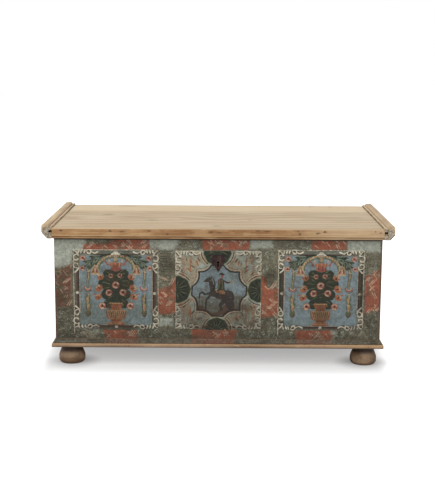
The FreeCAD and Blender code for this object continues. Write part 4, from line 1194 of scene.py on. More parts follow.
def film(name, art, place, material, hole=None):
    """A painting as a thin closed film over a board: a grid for its face, walls round its edges and one
    or two faces for its back. place(x, z, depth) puts a point, at depth 1 for the face and 0 for the
    back. hole is a block of the grid that is left open. Each point keeps the painting's distances."""
    px, pz = np.meshgrid(art.across, art.up)
    rows, columns = px.shape
    face = grid_faces(rows, columns)
    number = np.arange(rows * columns).reshape(rows, columns)
    rings = [edge_ring(number, 0, rows - 1, 0, columns - 1)]
    if hole:
        i0, i1, k0, k1 = hole
        row, column = face[:, 0] // columns, face[:, 0] % columns
        face = face[~((column >= i0) & (column < i1) & (row >= k0) & (row < k1))]
        rings.append(edge_ring(number, k0, k1, i0, i1))
    flat_x, flat_z = px.ravel(), pz.ravel()
    front = np.stack(place(flat_x, flat_z, np.ones(flat_x.shape)), -1)
    groups, backs, base = [face], [], len(front)
    for k, ring in enumerate(rings):
        back = np.stack(place(flat_x[ring], flat_z[ring], np.zeros(len(ring))), -1)
        following = np.roll(np.arange(len(ring)), -1)
        wall = np.stack([ring, np.arange(len(ring)) + base, following + base, ring[following]], 1)
        groups.append(wall if k == 0 else wall[:, ::-1])
        backs.append(np.arange(len(ring)) + base)
        front = np.concatenate([front, back])
        base += len(ring)
    groups += back_faces(backs, flat_x, rings)
    used = np.unique(np.concatenate([g.ravel() for g in groups]))
    renumber = np.full(len(front), -1)
    renumber[used] = np.arange(len(used))
    made = piece(name, [shell(front[used], *[renumber[g] for g in groups])], material, "carcass")
    source = np.concatenate([np.arange(rows * columns)] + rings)[used]
    for field, values in art.filled().items():
        made.data.attributes.new(field, "FLOAT", "POINT").data.foreach_set(
            "value", values.ravel()[source].astype(np.float32)
        )
    return made


def edge_ring(number, k0, k1, i0, i1):
    """The numbers of the points round a block of a grid, in order."""
    return np.concatenate([number[k0, i0:i1], number[k0:k1, i1], number[k1, i0 + 1:i1 + 1][::-1],
                           number[k0 + 1:k1 + 1, i0][::-1]])


def back_faces(backs, flat_x, rings):
    """The back of a film: one face, or two that meet above and below a hole."""
    if len(backs) == 1:
        return [backs[0][None, ::-1]]
    outer, inner = backs
    middle = flat_x[rings[1]].mean()

    def meetings(ring):
        """Where a ring passes the middle of the hole: on its lower side and on its upper."""
        off, half = np.abs(flat_x[ring] - middle), len(ring) // 2
        return np.argmin(off[:half]), half + np.argmin(off[half:])

    (o_low, o_top), (i_low, i_top) = meetings(rings[0]), meetings(rings[1])
    right = np.concatenate([outer[o_low:o_top + 1], inner[i_low:i_top + 1][::-1]])
    left = np.concatenate([outer[o_top:], outer[:o_low + 1], inner[:i_low + 1][::-1], inner[i_top:][::-1]])
    return [right[None, ::-1], left[None, ::-1]]


def spread(start, end, pitch):
    """Evenly spaced places from start to end, at most a pitch apart."""
    return np.linspace(start, end, math.ceil((end - start) / pitch) + 1)


# Operators.


class CHEST_OT_stage(bpy.types.Operator):
    """Adds the camera at the photograph's place, the pale floor, the lamps and the white surround"""

    bl_idname = "chest.stage"
    bl_label = "Stage and camera"

    def execute(self, context):
        scene = context.scene
        scene.view_settings.view_transform = "Standard"
        self.camera(scene)
        self.floor(scene)
        self.lamps(scene)
        self.surround(scene)
        return {"FINISHED"}

    def camera(self, scene):
        """Looks along +Y, turned by yaw, dipped by pitch, and rolled about its line of sight."""
        place = (0.0105, -4.2965, 1.151)
        yaw, pitch, roll = 0.0032, 0.1743, 0.0052
        right = np.array([math.cos(yaw), math.sin(yaw), 0])
        ahead = np.array([-math.cos(pitch) * math.sin(yaw), math.cos(pitch) * math.cos(yaw),
                          -math.sin(pitch)])
        up = np.cross(right, ahead)
        across = math.cos(roll) * right + math.sin(roll) * up
        upright = math.cos(roll) * up - math.sin(roll) * right
        data = bpy.data.cameras.new("camera")
        data.sensor_fit = "VERTICAL"
        data.sensor_height = 36.0
        data.lens = 77.7
        made = bpy.data.objects.new("camera", data)
        scene.collection.objects.link(made)
        facing = Matrix([[*row] for row in np.stack([across, upright, -ahead], 1)])
        made.matrix_world = Matrix.Translation(place) @ facing.to_4x4()
        scene.camera = made

    def floor(self, scene):
        """A pale floor. Where the camera sees it, it glows more the further it lies from the chest and
        its feet, so that it keeps the shadow and is white away from it. The weaker glow under the chest and
        round each foot, and the greyer floor near the chest, are painted shadow."""
        foot_y = -(FOOT_LOW.y + FOOT_HIGH.y) / 2
        foot_x = FOOT_HIGH.x - (FOOT_HIGH.y - FOOT_LOW.y) / 2
        f = Finish("floor")
        past = []
        for value, middle, half, fade in ((f.x, -0.015, 0.615, 0.11), (f.y, 0.0, 0.33, 0.28)):
            off = f.maths("ABSOLUTE", f.less(value, middle))
            outside = f.maths("MAXIMUM", f.less(off, half), 0.0)
            past.append(f.maths("POWER", f.maths("DIVIDE", outside, fade), 2.0))
        away = f.maths("SQRT", f.plus(*past))
        # Painted shadow: less glow under the chest.
        beneath = f.between(f.maths("ABSOLUTE", f.y), 0.05, 0.25, 0.385, 0.46)
        off = f.node("CombineXYZ", {0: f.less(f.maths("ABSOLUTE", f.x), foot_x),
                                    1: f.less(f.maths("ABSOLUTE", f.y), foot_y)}).outputs[0]
        near = f.node("VectorMath", {0: off}, operation="LENGTH").outputs["Value"]
        # Painted contact shadow: the glow is halved close to each foot.
        near = f.between(near, 0.045, 0.13, 0.5, 1.0)
        seen = f.node("LightPath", {}).outputs["Is Camera Ray"]
        f.put(f.shader.inputs["Emission Color"], (1, 1, 1, 1))
        f.put(f.shader.inputs["Emission Strength"],
              f.times(f.times(seen, near), f.between(away, 0.0, 1.0, beneath, 1.0)))
        # Painted shade: the floor is greyer near the chest.
        f.finish(f.grey(f.between(away, 0.0, 1.0, 0.5, 0.8)), 1.0, specular=0.0)
        reach = 30.0
        mesh = bpy.data.meshes.new("floor")
        mesh.from_pydata([(-reach, -reach, 0), (reach, -reach, 0), (reach, reach, 0), (-reach, reach, 0)], [],
                         [(0, 1, 2, 3)])
        mesh.materials.append(f.material)
        made = bpy.data.objects.new("floor", mesh)
        scene.collection.objects.link(made)

    def lamps(self, scene):
        """A large soft lamp from the left, and a weaker one from the right."""
        aim = Vector((0, 0, 0.3))
        for name, place, size, power in (("key", (-1.6, -2.6, 3.2), 2.6, 62.0),
                                         ("fill", (2.4, -2.8, 1.8), 2.4, 26.0)):
            data = bpy.data.lights.new(name, "AREA")
            data.size = size
            data.energy = power
            made = bpy.data.objects.new(name, data)
            scene.collection.objects.link(made)
            facing = (aim - Vector(place)).to_track_quat("-Z", "Y").to_matrix().to_4x4()
            made.matrix_world = Matrix.Translation(place) @ facing

    def surround(self, scene):
        """White where the camera or a reflection sees it, and a plain grey light elsewhere."""
        world = bpy.data.worlds.new("surround")
        scene.world = world
        world.use_nodes = True
        nodes, links = world.node_tree.nodes, world.node_tree.links
        path = nodes.new("ShaderNodeLightPath")
        seen = nodes.new("ShaderNodeMath")
        seen.operation = "MAXIMUM"
        links.new(path.outputs["Is Camera Ray"], seen.inputs[0])
        links.new(path.outputs["Is Glossy Ray"], seen.inputs[1])
        level = nodes.new("ShaderNodeMapRange")
        links.new(seen.outputs[0], level.inputs["Value"])
        level.inputs["To Min"].default_value = 0.62
        level.inputs["To Max"].default_value = 1.0
        nodes["Background"].inputs["Color"].default_value = (1, 1, 1, 1)
        links.new(level.outputs["Result"], nodes["Background"].inputs["Strength"])


class CHEST_OT_paint(bpy.types.Operator):
    """Paints the front board in three films and both ends in one each"""

    bl_idname = "chest.paint"
    bl_label = "Painting"

    def execute(self, context):
        sizes = context.scene.chest_sizes
        material = painted("old_paint", context.scene.chest_paints)
        pitch, coarse = sizes.paint_pitch / MM, 2.4 * sizes.paint_pitch / MM
        # The films end just short of the plinth and of the rim.
        heights = (PLINTH_HIGH.z / MM + 0.1, RIM / MM - 0.2)
        self.front(material, spread(*heights, pitch), pitch, sizes.paint_film)
        self.ends(material, spread(*heights, coarse), coarse, sizes.paint_film)
        return {"FINISHED"}

    def front(self, material, up, pitch, thick):
        """Three films of a slightly uneven thickness. The middle one has a window round the keyhole."""
        edge = HALF_WIDTH / MM + thick / MM
        key_half, key_low, key_high = 8.0, KEY_Z / MM - 24, KEY_Z / MM + 10
        seam, uneven = 200.0, 0.00012

        def place(x, z, depth):
            sway = uneven * wave(x * MM, 0.23, 1) * wave(z * MM, 0.31, 2)
            return x * MM, FRONT_Y + FILM_ROOT - depth * (thick + FILM_ROOT + sway), z * MM

        for name, x0, x1 in (("left", -edge, -seam), ("middle", -seam, seam), ("right", seam, edge)):
            art = front_painting(spread(x0, x1, pitch), up)
            hole = None
            if name == "middle":
                hole = (*np.searchsorted(art.across, (-key_half, key_half)),
                        *np.searchsorted(up, (key_low, key_high)))
            film(f"front_paint_{name}", art, place, material, hole)

    def ends(self, material, up, pitch, thick):
        """The same painting as a film on both ends, laid out from the front to the back."""
        art = end_painting(spread(FRONT_Y / MM, BACK_Y / MM, pitch), up)
        for name, side in (("left", -1), ("right", 1)):
            def place(y, z, depth):
                return side * (HALF_WIDTH - FILM_ROOT + depth * (thick + FILM_ROOT)), y * MM, z * MM
            film(f"end_paint_{name}", art, place, material)


class CHEST_OT_boards(bpy.types.Operator):
    """Gives the boards of the carcass and of the till their bare old pine"""

    bl_idname = "chest.boards"
    bl_label = "Carcass boards"

    def execute(self, context):
        wood, arris = context.scene.chest_wood, context.scene.chest_sizes.arris
        boards = {
            "front_board": "X", "back_board": "X", "left_end_board": "Y", "right_end_board": "Y",
            "bottom_plank_front": "X", "bottom_plank_middle": "X", "bottom_plank_rear": "X",
            "till_side": "Y", "till_bottom": "Y",
        }
        for k, (node, along) in enumerate(boards.items()):
            material = pine(f"{node}_pine", wood.inside_pale, wood.inside_dark, along, seed=1.3 + 2.1 * k)
            dress(node, material, arris if node.startswith(("till", "bottom")) else 0.0)
        return {"FINISHED"}


# Knots and stains on the lid: the middle and the reach of each along X and Y, in millimetres.
LID_STAINS = (
    (-442, 20, 30, 12), (-257, -125, 30, 12), (-5, -270, 24, 13), (-392, 282, 60, 9), (396, 297, 15, 10),
    (476, 284, 13, 9), (124, -110, 12, 9),
)
# Soft darker streaks on it, in the same way.
LID_STREAKS = (
    (-440, 236, 120, 13), (-250, 60, 140, 12), (210, -40, 160, 12), (-430, -220, 120, 14),
    (330, 170, 150, 13), (60, 190, 150, 10), (-80, -190, 130, 11),
)
# Nail stains and knots on the front edge of the lid: the same along X and Z.
MOULDING_STAINS = (
    (-584, 524, 10, 4), (-402, 523, 8, 5), (-358, 522, 16, 4), (-257, 524, 9, 4), (-188, 513, 6, 6),
    (-27, 521, 12, 5), (5, 518, 12, 4), (148, 526, 14, 3.5), (181, 525, 16, 3.5), (304, 515, 7, 7),
    (371, 518, 11, 5), (397, 523, 10, 5), (604, 521, 7, 4),
)
# Darker stretches of the front edge.
MOULDING_SHADES = ((-60, 515, 230, 60), (150, 515, 200, 60), (-20, 530, 330, 9))


class CHEST_OT_lid(bpy.types.Operator):
    """Makes the planks of the lid, the moulding along its front and the cleats across its ends"""

    bl_idname = "chest.lid"
    bl_label = "Lid"

    def execute(self, context):
        wood, sizes = context.scene.chest_wood, context.scene.chest_sizes
        self.planks(wood, sizes)
        self.moulding(wood, sizes)
        self.cleats(wood, sizes)
        return {"FINISHED"}

    def planks(self, wood, sizes):
        """A slab with rubbed edges whose top waves a little, and a tongue on each end."""
        inner, tongue_half, pitch = MOULDING_HIGH.x, 0.0045, 0.0045
        for k, name in enumerate(("front", "middle", "rear")):
            node = f"lid_plank_{name}"
            low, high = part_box(node)
            mid = (low.z + high.z) / 2
            outline = rubbed(box_outline(low.y, high.y, low.z, high.z, pitch), 1)
            stations, inset = round_ends(-inner, inner, 0.02, 0.0006)

            def place(y, z, x):
                top = (z - low.z) / (high.z - low.z)
                cup = 0.5 + 0.5 * wave(x, 0.7, 30 + k) * wave(y, 0.16, 40 + k)
                return x + 0 * y, y + 0 * x, z - 0.0007 * top * cup

            tongue = box_outline(low.y, high.y, mid - tongue_half, mid + tongue_half, 0.02)
            made = [carried(outline, stations, inset, place)]
            for side in (-1, 1):
                ends = np.sort(np.array([side * (inner - 0.002), side * (high.x - 0.0005)]))
                made.append(carried(tongue, ends, np.zeros(2),
                                    lambda y, z, x: (x + 0 * y, y + 0 * x, z + 0 * x)))
            material = self.plank_finish(node, wood, 3.1 + 1.9 * k)
            piece(node + "_wood", made, material, "lid", [node])

    def plank_finish(self, node, wood, seed):
        """Pale pine with stains and soft streaks, fresher along its back edge, and darker next to the cleats.
        """
        f = Finish(f"{node}_pine")
        base, rough, normal = grain(f, wood.lid_pale, wood.lid_dark, "X", seed, 0.45, 0.16, 0.5)
        base = f.stained(base, wood.lid_dark, on_top(LID_STREAKS), 0.85)
        base = f.tint(base, wood.lid_edge, f.y, BACK_Y - 0.24, BACK_Y - 0.15, 0.0, 0.85)
        base = f.tint(base, wood.lid_dark, f.y, BACK_Y - 0.03, BACK_Y - 0.012, 0.0, 0.7)
        base = f.stained(base, wood.stain, on_top(LID_STAINS), 0.62)
        # Darker on the planks next to the cleats.
        gap = f.less(CLEAT_LOW.x, f.maths("ABSOLUTE", f.x))
        base = f.tint(base, wood.stain, gap, 0.001, 0.007, 0.8, 0.0)
        return f.finish(base, rough, normal)

    def moulding_finish(self, name, wood, foot):
        """Browner pine than the planks, apart from its top. Stains and darker stretches lie along it, a
        painted highlight lies along its lower arris, and painted shade darkens the groove below that and
        the foot of the lip."""
        f = Finish(name)
        base, rough, normal = grain(f, wood.moulding_pale, wood.moulding_dark, "X", 9.4, 0.4, 0.3, 0.3, 0.004)
        base = f.stained(base, wood.moulding_dark, on_front(MOULDING_SHADES), 0.95)
        streaks = f.noise(f.moved(f.place, scale=(8, 170, 170)), 1.0, 4.0, 0.65)
        base = f.tint(base, wood.moulding_dark, streaks, 0.5, 0.66, 0.0, 0.55)
        base = f.tint(base, wood.moulding_rubbed_and_highlit, streaks, 0.34, 0.48, 0.55, 0.0)
        patches = f.noise(f.moved(f.place, scale=(0.35, 1, 1)), 30, 4.0, 0.6)
        base = f.tint(base, wood.moulding_rubbed_and_highlit, patches, 0.34, 0.5, 0.35, 0.0)
        base = f.tint(base, wood.lid_pale, f.x, 0.24, 0.48, 0.0, 0.36)
        base = f.stained(base, wood.stain, on_front(MOULDING_STAINS), 0.7)
        top, _, _ = grain(f, wood.lid_pale, wood.lid_dark, "X", 2.0, 0.45, 0.16, 0.5)
        base = f.tint(base, top, f.z, LID_TOP - 0.0045, LID_TOP - 0.002)
        # Painted highlight along the lower arris of the face.
        arris = f.times(f.within(f.z, foot - 0.0004, foot + 0.0028, 0.0008), 0.5)
        base = f.mix(arris, base, wood.moulding_rubbed_and_highlit)
        # Painted shade in the groove below the arris, broken up by patches.
        groove = f.times(f.within(f.z, foot - 0.0052, foot - 0.0012, 0.0008),
                         f.between(patches, 0.4, 0.6, 0.1, 0.45))
        base = f.mix(groove, base, wood.stain)
        # Painted shade at the foot of the lip, under the bead.
        lip = f.between(f.z, MOULDING_LOW.z + 0.001, MOULDING_LOW.z + 0.004, 0.7, 0.0)
        base = f.mix(lip, base, wood.stain)
        return f.finish(base, rough, normal)

    def cleat_finish(self, name, wood, seed):
        """Pine with a dark line at its joint with the planks, painted shade in the groove behind its bead and
        on its lower outside, and end grain that has weathered grey.
        """
        f = Finish(name)
        base, rough, normal = grain(f, wood.cleat_pale, wood.lid_dark, "Y", seed, 0.5, 0.3, 0.4)
        away = f.less(f.maths("ABSOLUTE", f.x), CLEAT_LOW.x)
        broken = f.between(f.noise(f.moved(f.place, scale=(1, 0.5, 1)), 55, 3.0), 0.42, 0.56, 0.2, 1.0)
        # The first line is the dark joint with the planks; the second is painted shade in the groove between
        # the bead and the crown.
        for low, high, rise, strength in ((-0.001, 0.0014, 0.0035, 0.9), (0.0085, 0.0115, 0.02, 0.35)):
            line = f.times(f.within(away, low, high, 0.0008),
                           f.within(f.z, LID_TOP - 0.001, LID_TOP + rise, 0.001))
            base = f.mix(f.times(f.times(line, broken), strength), base, wood.stain)
        streaks = f.noise(f.moved(f.place, scale=(150, 9, 150)), 1.0, 4.0, 0.65)
        base = f.tint(base, wood.lid_dark, streaks, 0.5, 0.68, 0.0, 0.4)
        ragged = f.times(f.noise(f.place, 160, 5.0, 0.7), 0.012)
        end = f.between(f.less(f.less(f.y, CLEAT_LOW.y), ragged), -0.002, 0.004, 1.0, 0.0)
        weather = f.noise(f.place, 130, 4.0, 0.7)
        grey = f.mix(f.between(weather, 0.46, 0.57, 0.0, 0.85), wood.cleat_end, wood.stain)
        end = f.times(end, f.between(f.z, LID_TOP - 0.004, LID_TOP + 0.006, 0.9, 0.25))
        base = f.mix(end, base, grey)
        # Painted shade on the lower outside of the cleat, over its chamfer.
        below = f.less(away, f.times(f.less(f.z, CLEAT_LOW.z), 1.05))
        base = f.tint(base, wood.stain, below, 0.0125, 0.0165, 0.0, 0.6)
        return f.finish(base, rough, normal)

    def moulding(self, wood, sizes):
        """The front edge of the lid: a soft nose, a flat face, a groove and a small round lip."""
        nose, back = MOULDING_LOW.y, MOULDING_HIGH.y
        low, top = MOULDING_LOW.z, MOULDING_HIGH.z
        nose_round, face_height, foot_round = 0.009, 0.0295, 0.0025
        quirk, depth, bulge = 0.0025, 0.005, 0.0024
        foot = top - face_height
        quirk_top = foot - foot_round
        bead_top = quirk_top - quirk
        bead_y = nose + depth - bulge
        outline = loop([
            (back, low), (back, top), (nose + nose_round, top),
            ((nose, top), (nose, top - nose_round)), (nose, foot),
            ((nose, quirk_top), (nose + foot_round, quirk_top)), (nose + depth, quirk_top),
            (nose + depth, bead_top), ((bead_y, bead_top), (bead_y, (bead_top + low) / 2)),
            ((bead_y, low), (nose + depth, low)),
        ], sizes.wood_pitch)
        stations, inset = round_ends(MOULDING_LOW.x, MOULDING_HIGH.x, 0.008, 0.0005)

        def place(y, z, x):
            worn = 0.0006 * (0.5 + 0.5 * wave(x, 0.11, 51)) + 0.0005 * np.maximum(0, wave(x, 0.023, 52))
            front = np.clip((back - 0.012 - y) / 0.01, 0, 1)
            return x + 0 * y, y + front * worn, z - 0.4 * front * worn * (z > (low + top) / 2)

        material = self.moulding_finish("lid_moulding_pine", wood, foot)
        piece("lid_moulding_wood", [carried(rubbed(outline, 2), stations, inset, place)], material, "lid",
              ["lid_moulding"])

    def cleats(self, wood, sizes):
        """A bead, a shallow groove, a broad crown with an upright side and a chamfer below, worn round at
        both ends."""
        inner, outer = CLEAT_LOW.x, CLEAT_HIGH.x
        low, crown, top = CLEAT_LOW.z, CLEAT_HIGH.z, LID_TOP
        quirk, bead_top, bead = top + 0.0035, top + 0.006, 0.010
        side = outer - 0.0006
        mid = (RIM + top) / 2
        groove_half, groove_depth = 0.0045, 0.013
        crown_in, crown_out, shoulder = 0.019, 0.0065, 0.0056
        stations, inset = round_ends(CLEAT_LOW.y, CLEAT_HIGH.y, 0.01, 0.0012)
        for k, (flip, chamfer) in enumerate(((1, 0.0185), (-1, 0.0225))):
            hip = low + chamfer
            outline = loop([
                (inner, low), (inner, mid - groove_half), (inner + groove_depth, mid - groove_half),
                (inner + groove_depth, mid + groove_half), (inner, mid + groove_half), (inner, quirk),
                ((inner, bead_top), (inner + bead / 2, bead_top)),
                ((inner + bead, bead_top), (inner + bead, quirk)),
                ((inner + bead, crown), (inner + crown_in, crown)), (outer - crown_out, crown),
                ((side - 0.0008, crown), (side, crown - shoulder)), (side + 0.0004, hip + 0.004),
                ((side + 0.0004, hip), (side - 0.0024, hip - 0.003)), (outer - 0.001 - chamfer, low),
            ], sizes.wood_pitch)

            def place(x, z, y):
                out = np.clip((x - inner - 0.012) / (outer - inner - 0.012), 0, 1)
                lift = np.clip((z - low) / (crown - low), 0, 1)
                rub = 0.0007 * (0.5 + 0.5 * wave(y, 0.12, 60 + k))
                rub = rub + 0.0006 * np.maximum(0, wave(y, 0.03, 63 + k))
                x = x - out * rub
                z = z - np.clip((z - top) / (crown - top), 0, 1) * rub
                front = np.clip(1 - (y - CLEAT_LOW.y) / (2.2 * sizes.end_round), 0, 1) ** 2
                corner = np.clip(out * 1.15, 0, 1) ** 2
                y = y + sizes.end_round * front * (0.9 * corner + 0.35 * lift ** 3 * out)
                return flip * x, y, z + 0 * y

            name = "right" if flip > 0 else "left"
            material = self.cleat_finish(f"lid_cleat_{name}_pine", wood, 12.6 + k)
            piece(f"lid_cleat_{name}_wood", [carried(rubbed(outline, 2), stations, inset, place)], material,
                  "lid", [f"lid_cleat_{name}"])


def on_top(marks):
    """Marks on the lid's top, as middles and reaches in metres."""
    return [((x * MM, y * MM, LID_TOP), (wide * MM, deep * MM, 1.0)) for x, y, wide, deep in marks]


def on_front(marks):
    """Marks on the lid's front edge, as middles and reaches in metres."""
    return [((x * MM, MOULDING_LOW.y, z * MM), (wide * MM, 0.04, high * MM)) for x, z, wide, high in marks]


class CHEST_OT_plinth(bpy.types.Operator):
    """Makes the plinth moulding along the front and round both ends"""

    bl_idname = "chest.plinth"
    bl_label = "Plinth"

    def execute(self, context):
        wood, sizes = context.scene.chest_wood, context.scene.chest_sizes
        low, top = PLINTH_LOW.z, PLINTH_HIGH.z
        reach = FRONT_Y - PLINTH_LOW.y
        strip, step, nose = 0.0155, 0.0025, 0.0025
        strip_top = low + strip
        outline = loop([
            (0, low), (reach - nose, low), ((reach, low), (reach, low + nose)), (reach, strip_top - nose),
            ((reach, strip_top), (reach - nose, strip_top)), (reach - step, strip_top),
            ((step, strip_top + step), (step, top)), (0, top),
        ], sizes.wood_pitch)
        outline = rubbed(outline, 2)
        material = self.finish(wood, context.scene.chest_paints, strip_top)

        def rub(out, t, seed):
            return out - out / reach * 0.0006 * (0.6 + 0.5 * wave(t, 0.09, seed))

        def front(out, z, t):
            worn = rub(out, t * HALF_WIDTH, 71)
            return t * (HALF_WIDTH + out), FRONT_Y - worn + 0 * t, z + 0 * t

        across = np.linspace(-1, 1, 150)
        pieces = [("front", carried(outline, across, 0 * across, front))]
        along = np.linspace(0, 1, 80)
        for name, side in (("left", -1), ("right", 1)):
            def end(out, z, t):
                worn = rub(out, t * (BACK_Y - FRONT_Y), 73 + side)
                return side * (HALF_WIDTH + worn), FRONT_Y - out * (1 - t) + t * (BACK_Y - FRONT_Y), z + 0 * t
            pieces.append((name, carried(outline, along, 0 * along, end)))
        for name, made in pieces:
            piece(f"plinth_{name}_wood", [made], material, "carcass", [f"plinth_{name}"])
        return {"FINISHED"}

    def finish(self, wood, paints, strip_top):
        """Stripped pine below, lighter along its top as a painted highlight and darker along its lower edge
        as painted shade, and in the hollow above it the same marbled paint as on the boards, with painted
        shade along the top of the hollow.
        """
        f = Finish("plinth_pine")
        base, rough, normal = grain(f, wood.plinth_pale, wood.plinth_dark, "X", 17.0, 0.5, 0.5, 0.5, 0.004)
        patches = f.noise(f.moved(f.place, scale=(0.4, 1, 1)), 46, 6.0, 0.7)
        base = f.tint(base, wood.plinth_dark, patches, 0.52, 0.66, 0.0, 0.55)
        base = f.tint(base, wood.lid_pale, patches, 0.33, 0.44, 0.5, 0.0)
        base = f.tint(base, wood.moulding_pale, f.x, 0.3, 0.6, 0.0, 0.4)
        base = f.tint(base, wood.moulding_pale, f.z, strip_top - 0.006, strip_top - 0.003, 0.0, 0.5)
        base = f.tint(base, wood.stain, f.z, PLINTH_LOW.z + 0.001, PLINTH_LOW.z + 0.008, 0.75, 0.0)
        marble = f.noise(f.moved(f.place, shift=(3, 0, 0)), 24, 7.0, 0.7, 1.0)
        paint = f.mix(f.between(marble, 0.4, 0.56), paints.olive_dark, paints.olive)
        paint = f.tint(paint, paints.celadon, marble, 0.6, 0.7, 0.0, 0.4)
        paint = f.tint(paint, paints.umber, f.noise(f.place, 17, 4.0), 0.56, 0.64, 0.0, 0.35)
        red = 0.0
        for low, high in ((-0.422, -0.306), (-0.096, 0.062), (0.298, 0.432)):
            red = f.maths("MAXIMUM", f.within(f.x, low, high, 0.004), red)
        red = f.times(red, f.between(marble, 0.35, 0.6, 0.95, 0.45))
        paint = f.mix(red, paint, paints.madder)
        streaks = f.noise(f.moved(f.place, scale=(12, 90, 320)), 1.0, 4.0)
        paint = f.tint(paint, paints.celadon, streaks, 0.52, 0.62, 0.0, 0.45)
        fine = f.noise(f.place, 130, 6.0, 0.75)
        paint = f.tint(paint, paints.dirt, fine, 0.40, 0.6, 0.3, 0.85)
        top = f.between(f.z, PLINTH_HIGH.z - 0.003, PLINTH_HIGH.z - 0.001, 0.0, 0.7)
        paint = f.mix(top, paint, paints.dirt)
        ragged = f.plus(f.z, f.times(f.noise(f.place, 90, 5.0, 0.7), 0.006))
        base = f.tint(base, paint, ragged, strip_top + 0.0015, strip_top + 0.0045)
        joint = f.within(f.z, strip_top - 0.0002, strip_top + 0.0022, 0.0006)
        base = f.mix(f.times(joint, 0.6), base, wood.stain)
        return f.finish(base, rough, normal)


class CHEST_OT_feet(bpy.types.Operator):
    """Turns the four bun feet"""

    bl_idname = "chest.feet"
    bl_label = "Feet"

    def execute(self, context):
        wood = context.scene.chest_wood
        material = self.finish(wood)
        for row in ("front", "rear"):
            low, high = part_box(f"feet_{row}")
            made = []
            for k, side in enumerate((-1, 1)):
                radius = (high.y - low.y) / 2
                centre = (side * (high.x - radius), (low.y + high.y) / 2)
                made.append(self.turned(centre, radius, 4 * k + len(row)))
            piece(f"feet_{row}_wood", made, material, "carcass", [f"feet_{row}"])
        return {"FINISHED"}

    def finish(self, wood):
        """Turned pine, its neck dark with dirt and a painted shadow under the plinth, and darker near the
        floor.
        """
        f = Finish("turned_pine")
        base, rough, normal = grain(f, wood.foot_pale, wood.foot_dark, "X", 21.0, 0.7, 0.45, 0.3, 0.004)
        patches = f.noise(f.place, 38, 6.0, 0.7)
        base = f.tint(base, wood.foot_dark, patches, 0.5, 0.64, 0.0, 0.6)
        ragged = f.plus(f.z, f.times(patches, 0.012))
        # Painted shadow, with some dirt, on the neck under the plinth.
        base = f.tint(base, wood.foot_neck_shadow_and_dirt, ragged, 0.044, 0.062, 0.0, 0.92)
        base = f.tint(base, wood.foot_dark, ragged, 0.005, 0.014, 0.6, 0.0)
        return f.finish(base, rough, normal)

    def turned(self, centre, radius, seed):
        """A bun turned from its half section: a heel round, an upright cheek, a shoulder round, a slope
        to the neck, and a tenon. Faint turning marks and a slight wear move its surface in."""
        base, heel, cheek, side_radius = 0.040, 0.014, 0.026, 0.022
        neck, shoulder, top = 0.040, 0.058, 0.072
        tenon, tenon_top = 0.014, PLINTH_LOW.z + 0.0195

        def bend(height, bend_radius, start, end):
            """An arc that is upright where it meets the cheek, at a height."""
            turn = np.linspace(start, end, 10)
            return np.stack([radius - bend_radius + bend_radius * np.cos(turn),
                             height + bend_radius * np.sin(turn)], 1)

        heel_radius = ((radius - base) ** 2 + heel ** 2) / (2 * (radius - base))
        rise, inset = shoulder - cheek, neck - (radius - side_radius)
        lean = math.atan2(rise, inset) - math.acos(side_radius / math.hypot(rise, inset))
        side = np.concatenate([bend(heel, heel_radius, -math.asin(heel / heel_radius), 0),
                               [(radius, (heel + cheek) / 2)], bend(cheek, side_radius, 0, lean)])
        up = np.linspace(0, 1, 14)[1:, None]
        slope = side[-1] + (np.array([neck, shoulder]) - side[-1]) * up
        rest = np.array([
            (neck - 0.0006, shoulder + 0.0008), (neck - 0.0008, top - 0.001), (neck - 0.002, top),
            (tenon, top), (tenon, tenon_top - 0.001), (tenon - 0.001, tenon_top),
        ])
        profile = np.concatenate([[(base * 0.6, 0.0), (base - 0.002, 0.0003)], side[1:], slope, rest])
        round_angle = np.linspace(0, 2 * np.pi, 96, endpoint=False)
        r, z = profile[:, 0][:, None], profile[:, 1][:, None]
        marks = 0.00018 * (1 + wave(z, 0.006, seed)) + 0.0003 * (1 + wave(round_angle * 0.05, 0.07, seed + 1))
        r = r - marks * (z > 0.001) * (z < shoulder)
        points = np.stack([centre[0] + r * np.cos(round_angle), centre[1] + r * np.sin(round_angle),
                           z + 0 * round_angle], -1)
        count = len(round_angle)
        ring = np.arange(count)[None]
        last = (len(profile) - 1) * count
        return shell(points, grid_faces(len(profile), count, closed=True), ring[:, ::-1], ring + last)


class CHEST_OT_escutcheon(bpy.types.Operator):
    """Makes the shield of iron round the keyhole"""

    bl_idname = "chest.escutcheon"
    bl_label = "Escutcheon"

    def execute(self, context):
        wood = context.scene.chest_wood
        material = forged("old_shield", wood.shield, wood.rust, 0.35, 4.0)
        dress("escutcheon", material, 0.0005)
        dress("escutcheon_nails", material)
        return {"FINISHED"}


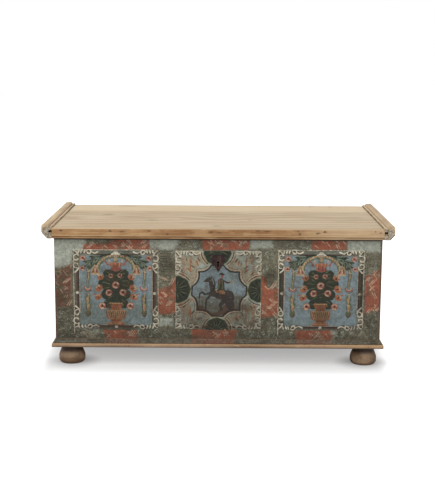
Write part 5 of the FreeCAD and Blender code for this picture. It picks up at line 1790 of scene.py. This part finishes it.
class CHEST_OT_iron(bpy.types.Operator):
    """Gives the hinges, the lock, the hasp and the nails their forged iron"""

    bl_idname = "chest.iron"
    bl_label = "Iron work"

    def execute(self, context):
        wood = context.scene.chest_wood
        material = forged("forged_iron", wood.iron, wood.rust, 0.55)
        for node in ("hinge_strap_left", "hinge_strap_right", "hinge_leaf_left", "hinge_leaf_right", "hasp",
                     "lock_plate", "lock_bridge", "lock_keepers", "lock_bolt", "lock_spring"):
            dress(node, material, 0.0004)
        dress("hinge_pins", material)
        nails = forged("nail_iron", wood.iron, wood.rust, 0.7, 2.0)
        for node in ("bottom_nails", "plinth_nails", "moulding_nails", "cleat_nails", "hinge_strap_nails",
                     "hinge_leaf_nails", "lock_nails", "hasp_nails"):
            dress(node, nails)
        dress("foot_wedges", pine("wedge_pine", wood.foot_pale, wood.foot_dark, "Z", seed=25.0))
        return {"FINISHED"}


class CHEST_PT_panel(bpy.types.Panel):
    """Lists the pieces of the chest, with their sizes and colours"""

    bl_label = "Painted storage chest"
    bl_space_type = "VIEW_3D"
    bl_region_type = "UI"
    bl_category = "Chest"

    def draw(self, context):
        for operator in OPERATORS:
            self.layout.operator(operator.bl_idname)
        for group in (context.scene.chest_sizes, context.scene.chest_wood, context.scene.chest_paints):
            column = self.layout.column()
            for name in group.__annotations__:
                column.prop(group, name)


OPERATORS = (CHEST_OT_stage, CHEST_OT_paint, CHEST_OT_boards, CHEST_OT_lid, CHEST_OT_plinth, CHEST_OT_feet,
             CHEST_OT_escutcheon, CHEST_OT_iron)
GROUPS = {"chest_sizes": ChestSizes, "chest_paints": ChestPaints, "chest_wood": ChestWood}


def register():
    for kind in (*GROUPS.values(), *OPERATORS, CHEST_PT_panel):
        bpy.utils.register_class(kind)
    for name, kind in GROUPS.items():
        setattr(bpy.types.Scene, name, bpy.props.PointerProperty(type=kind))


def unregister():
    for name in GROUPS:
        delattr(bpy.types.Scene, name)
    for kind in (CHEST_PT_panel, *reversed(OPERATORS), *reversed(GROUPS.values())):
        bpy.utils.unregister_class(kind)


def main():
    register()
    for operator in OPERATORS:
        group, name = operator.bl_idname.split(".")
        getattr(getattr(bpy.ops, group), name)()


if __name__ == "__main__":
    main()
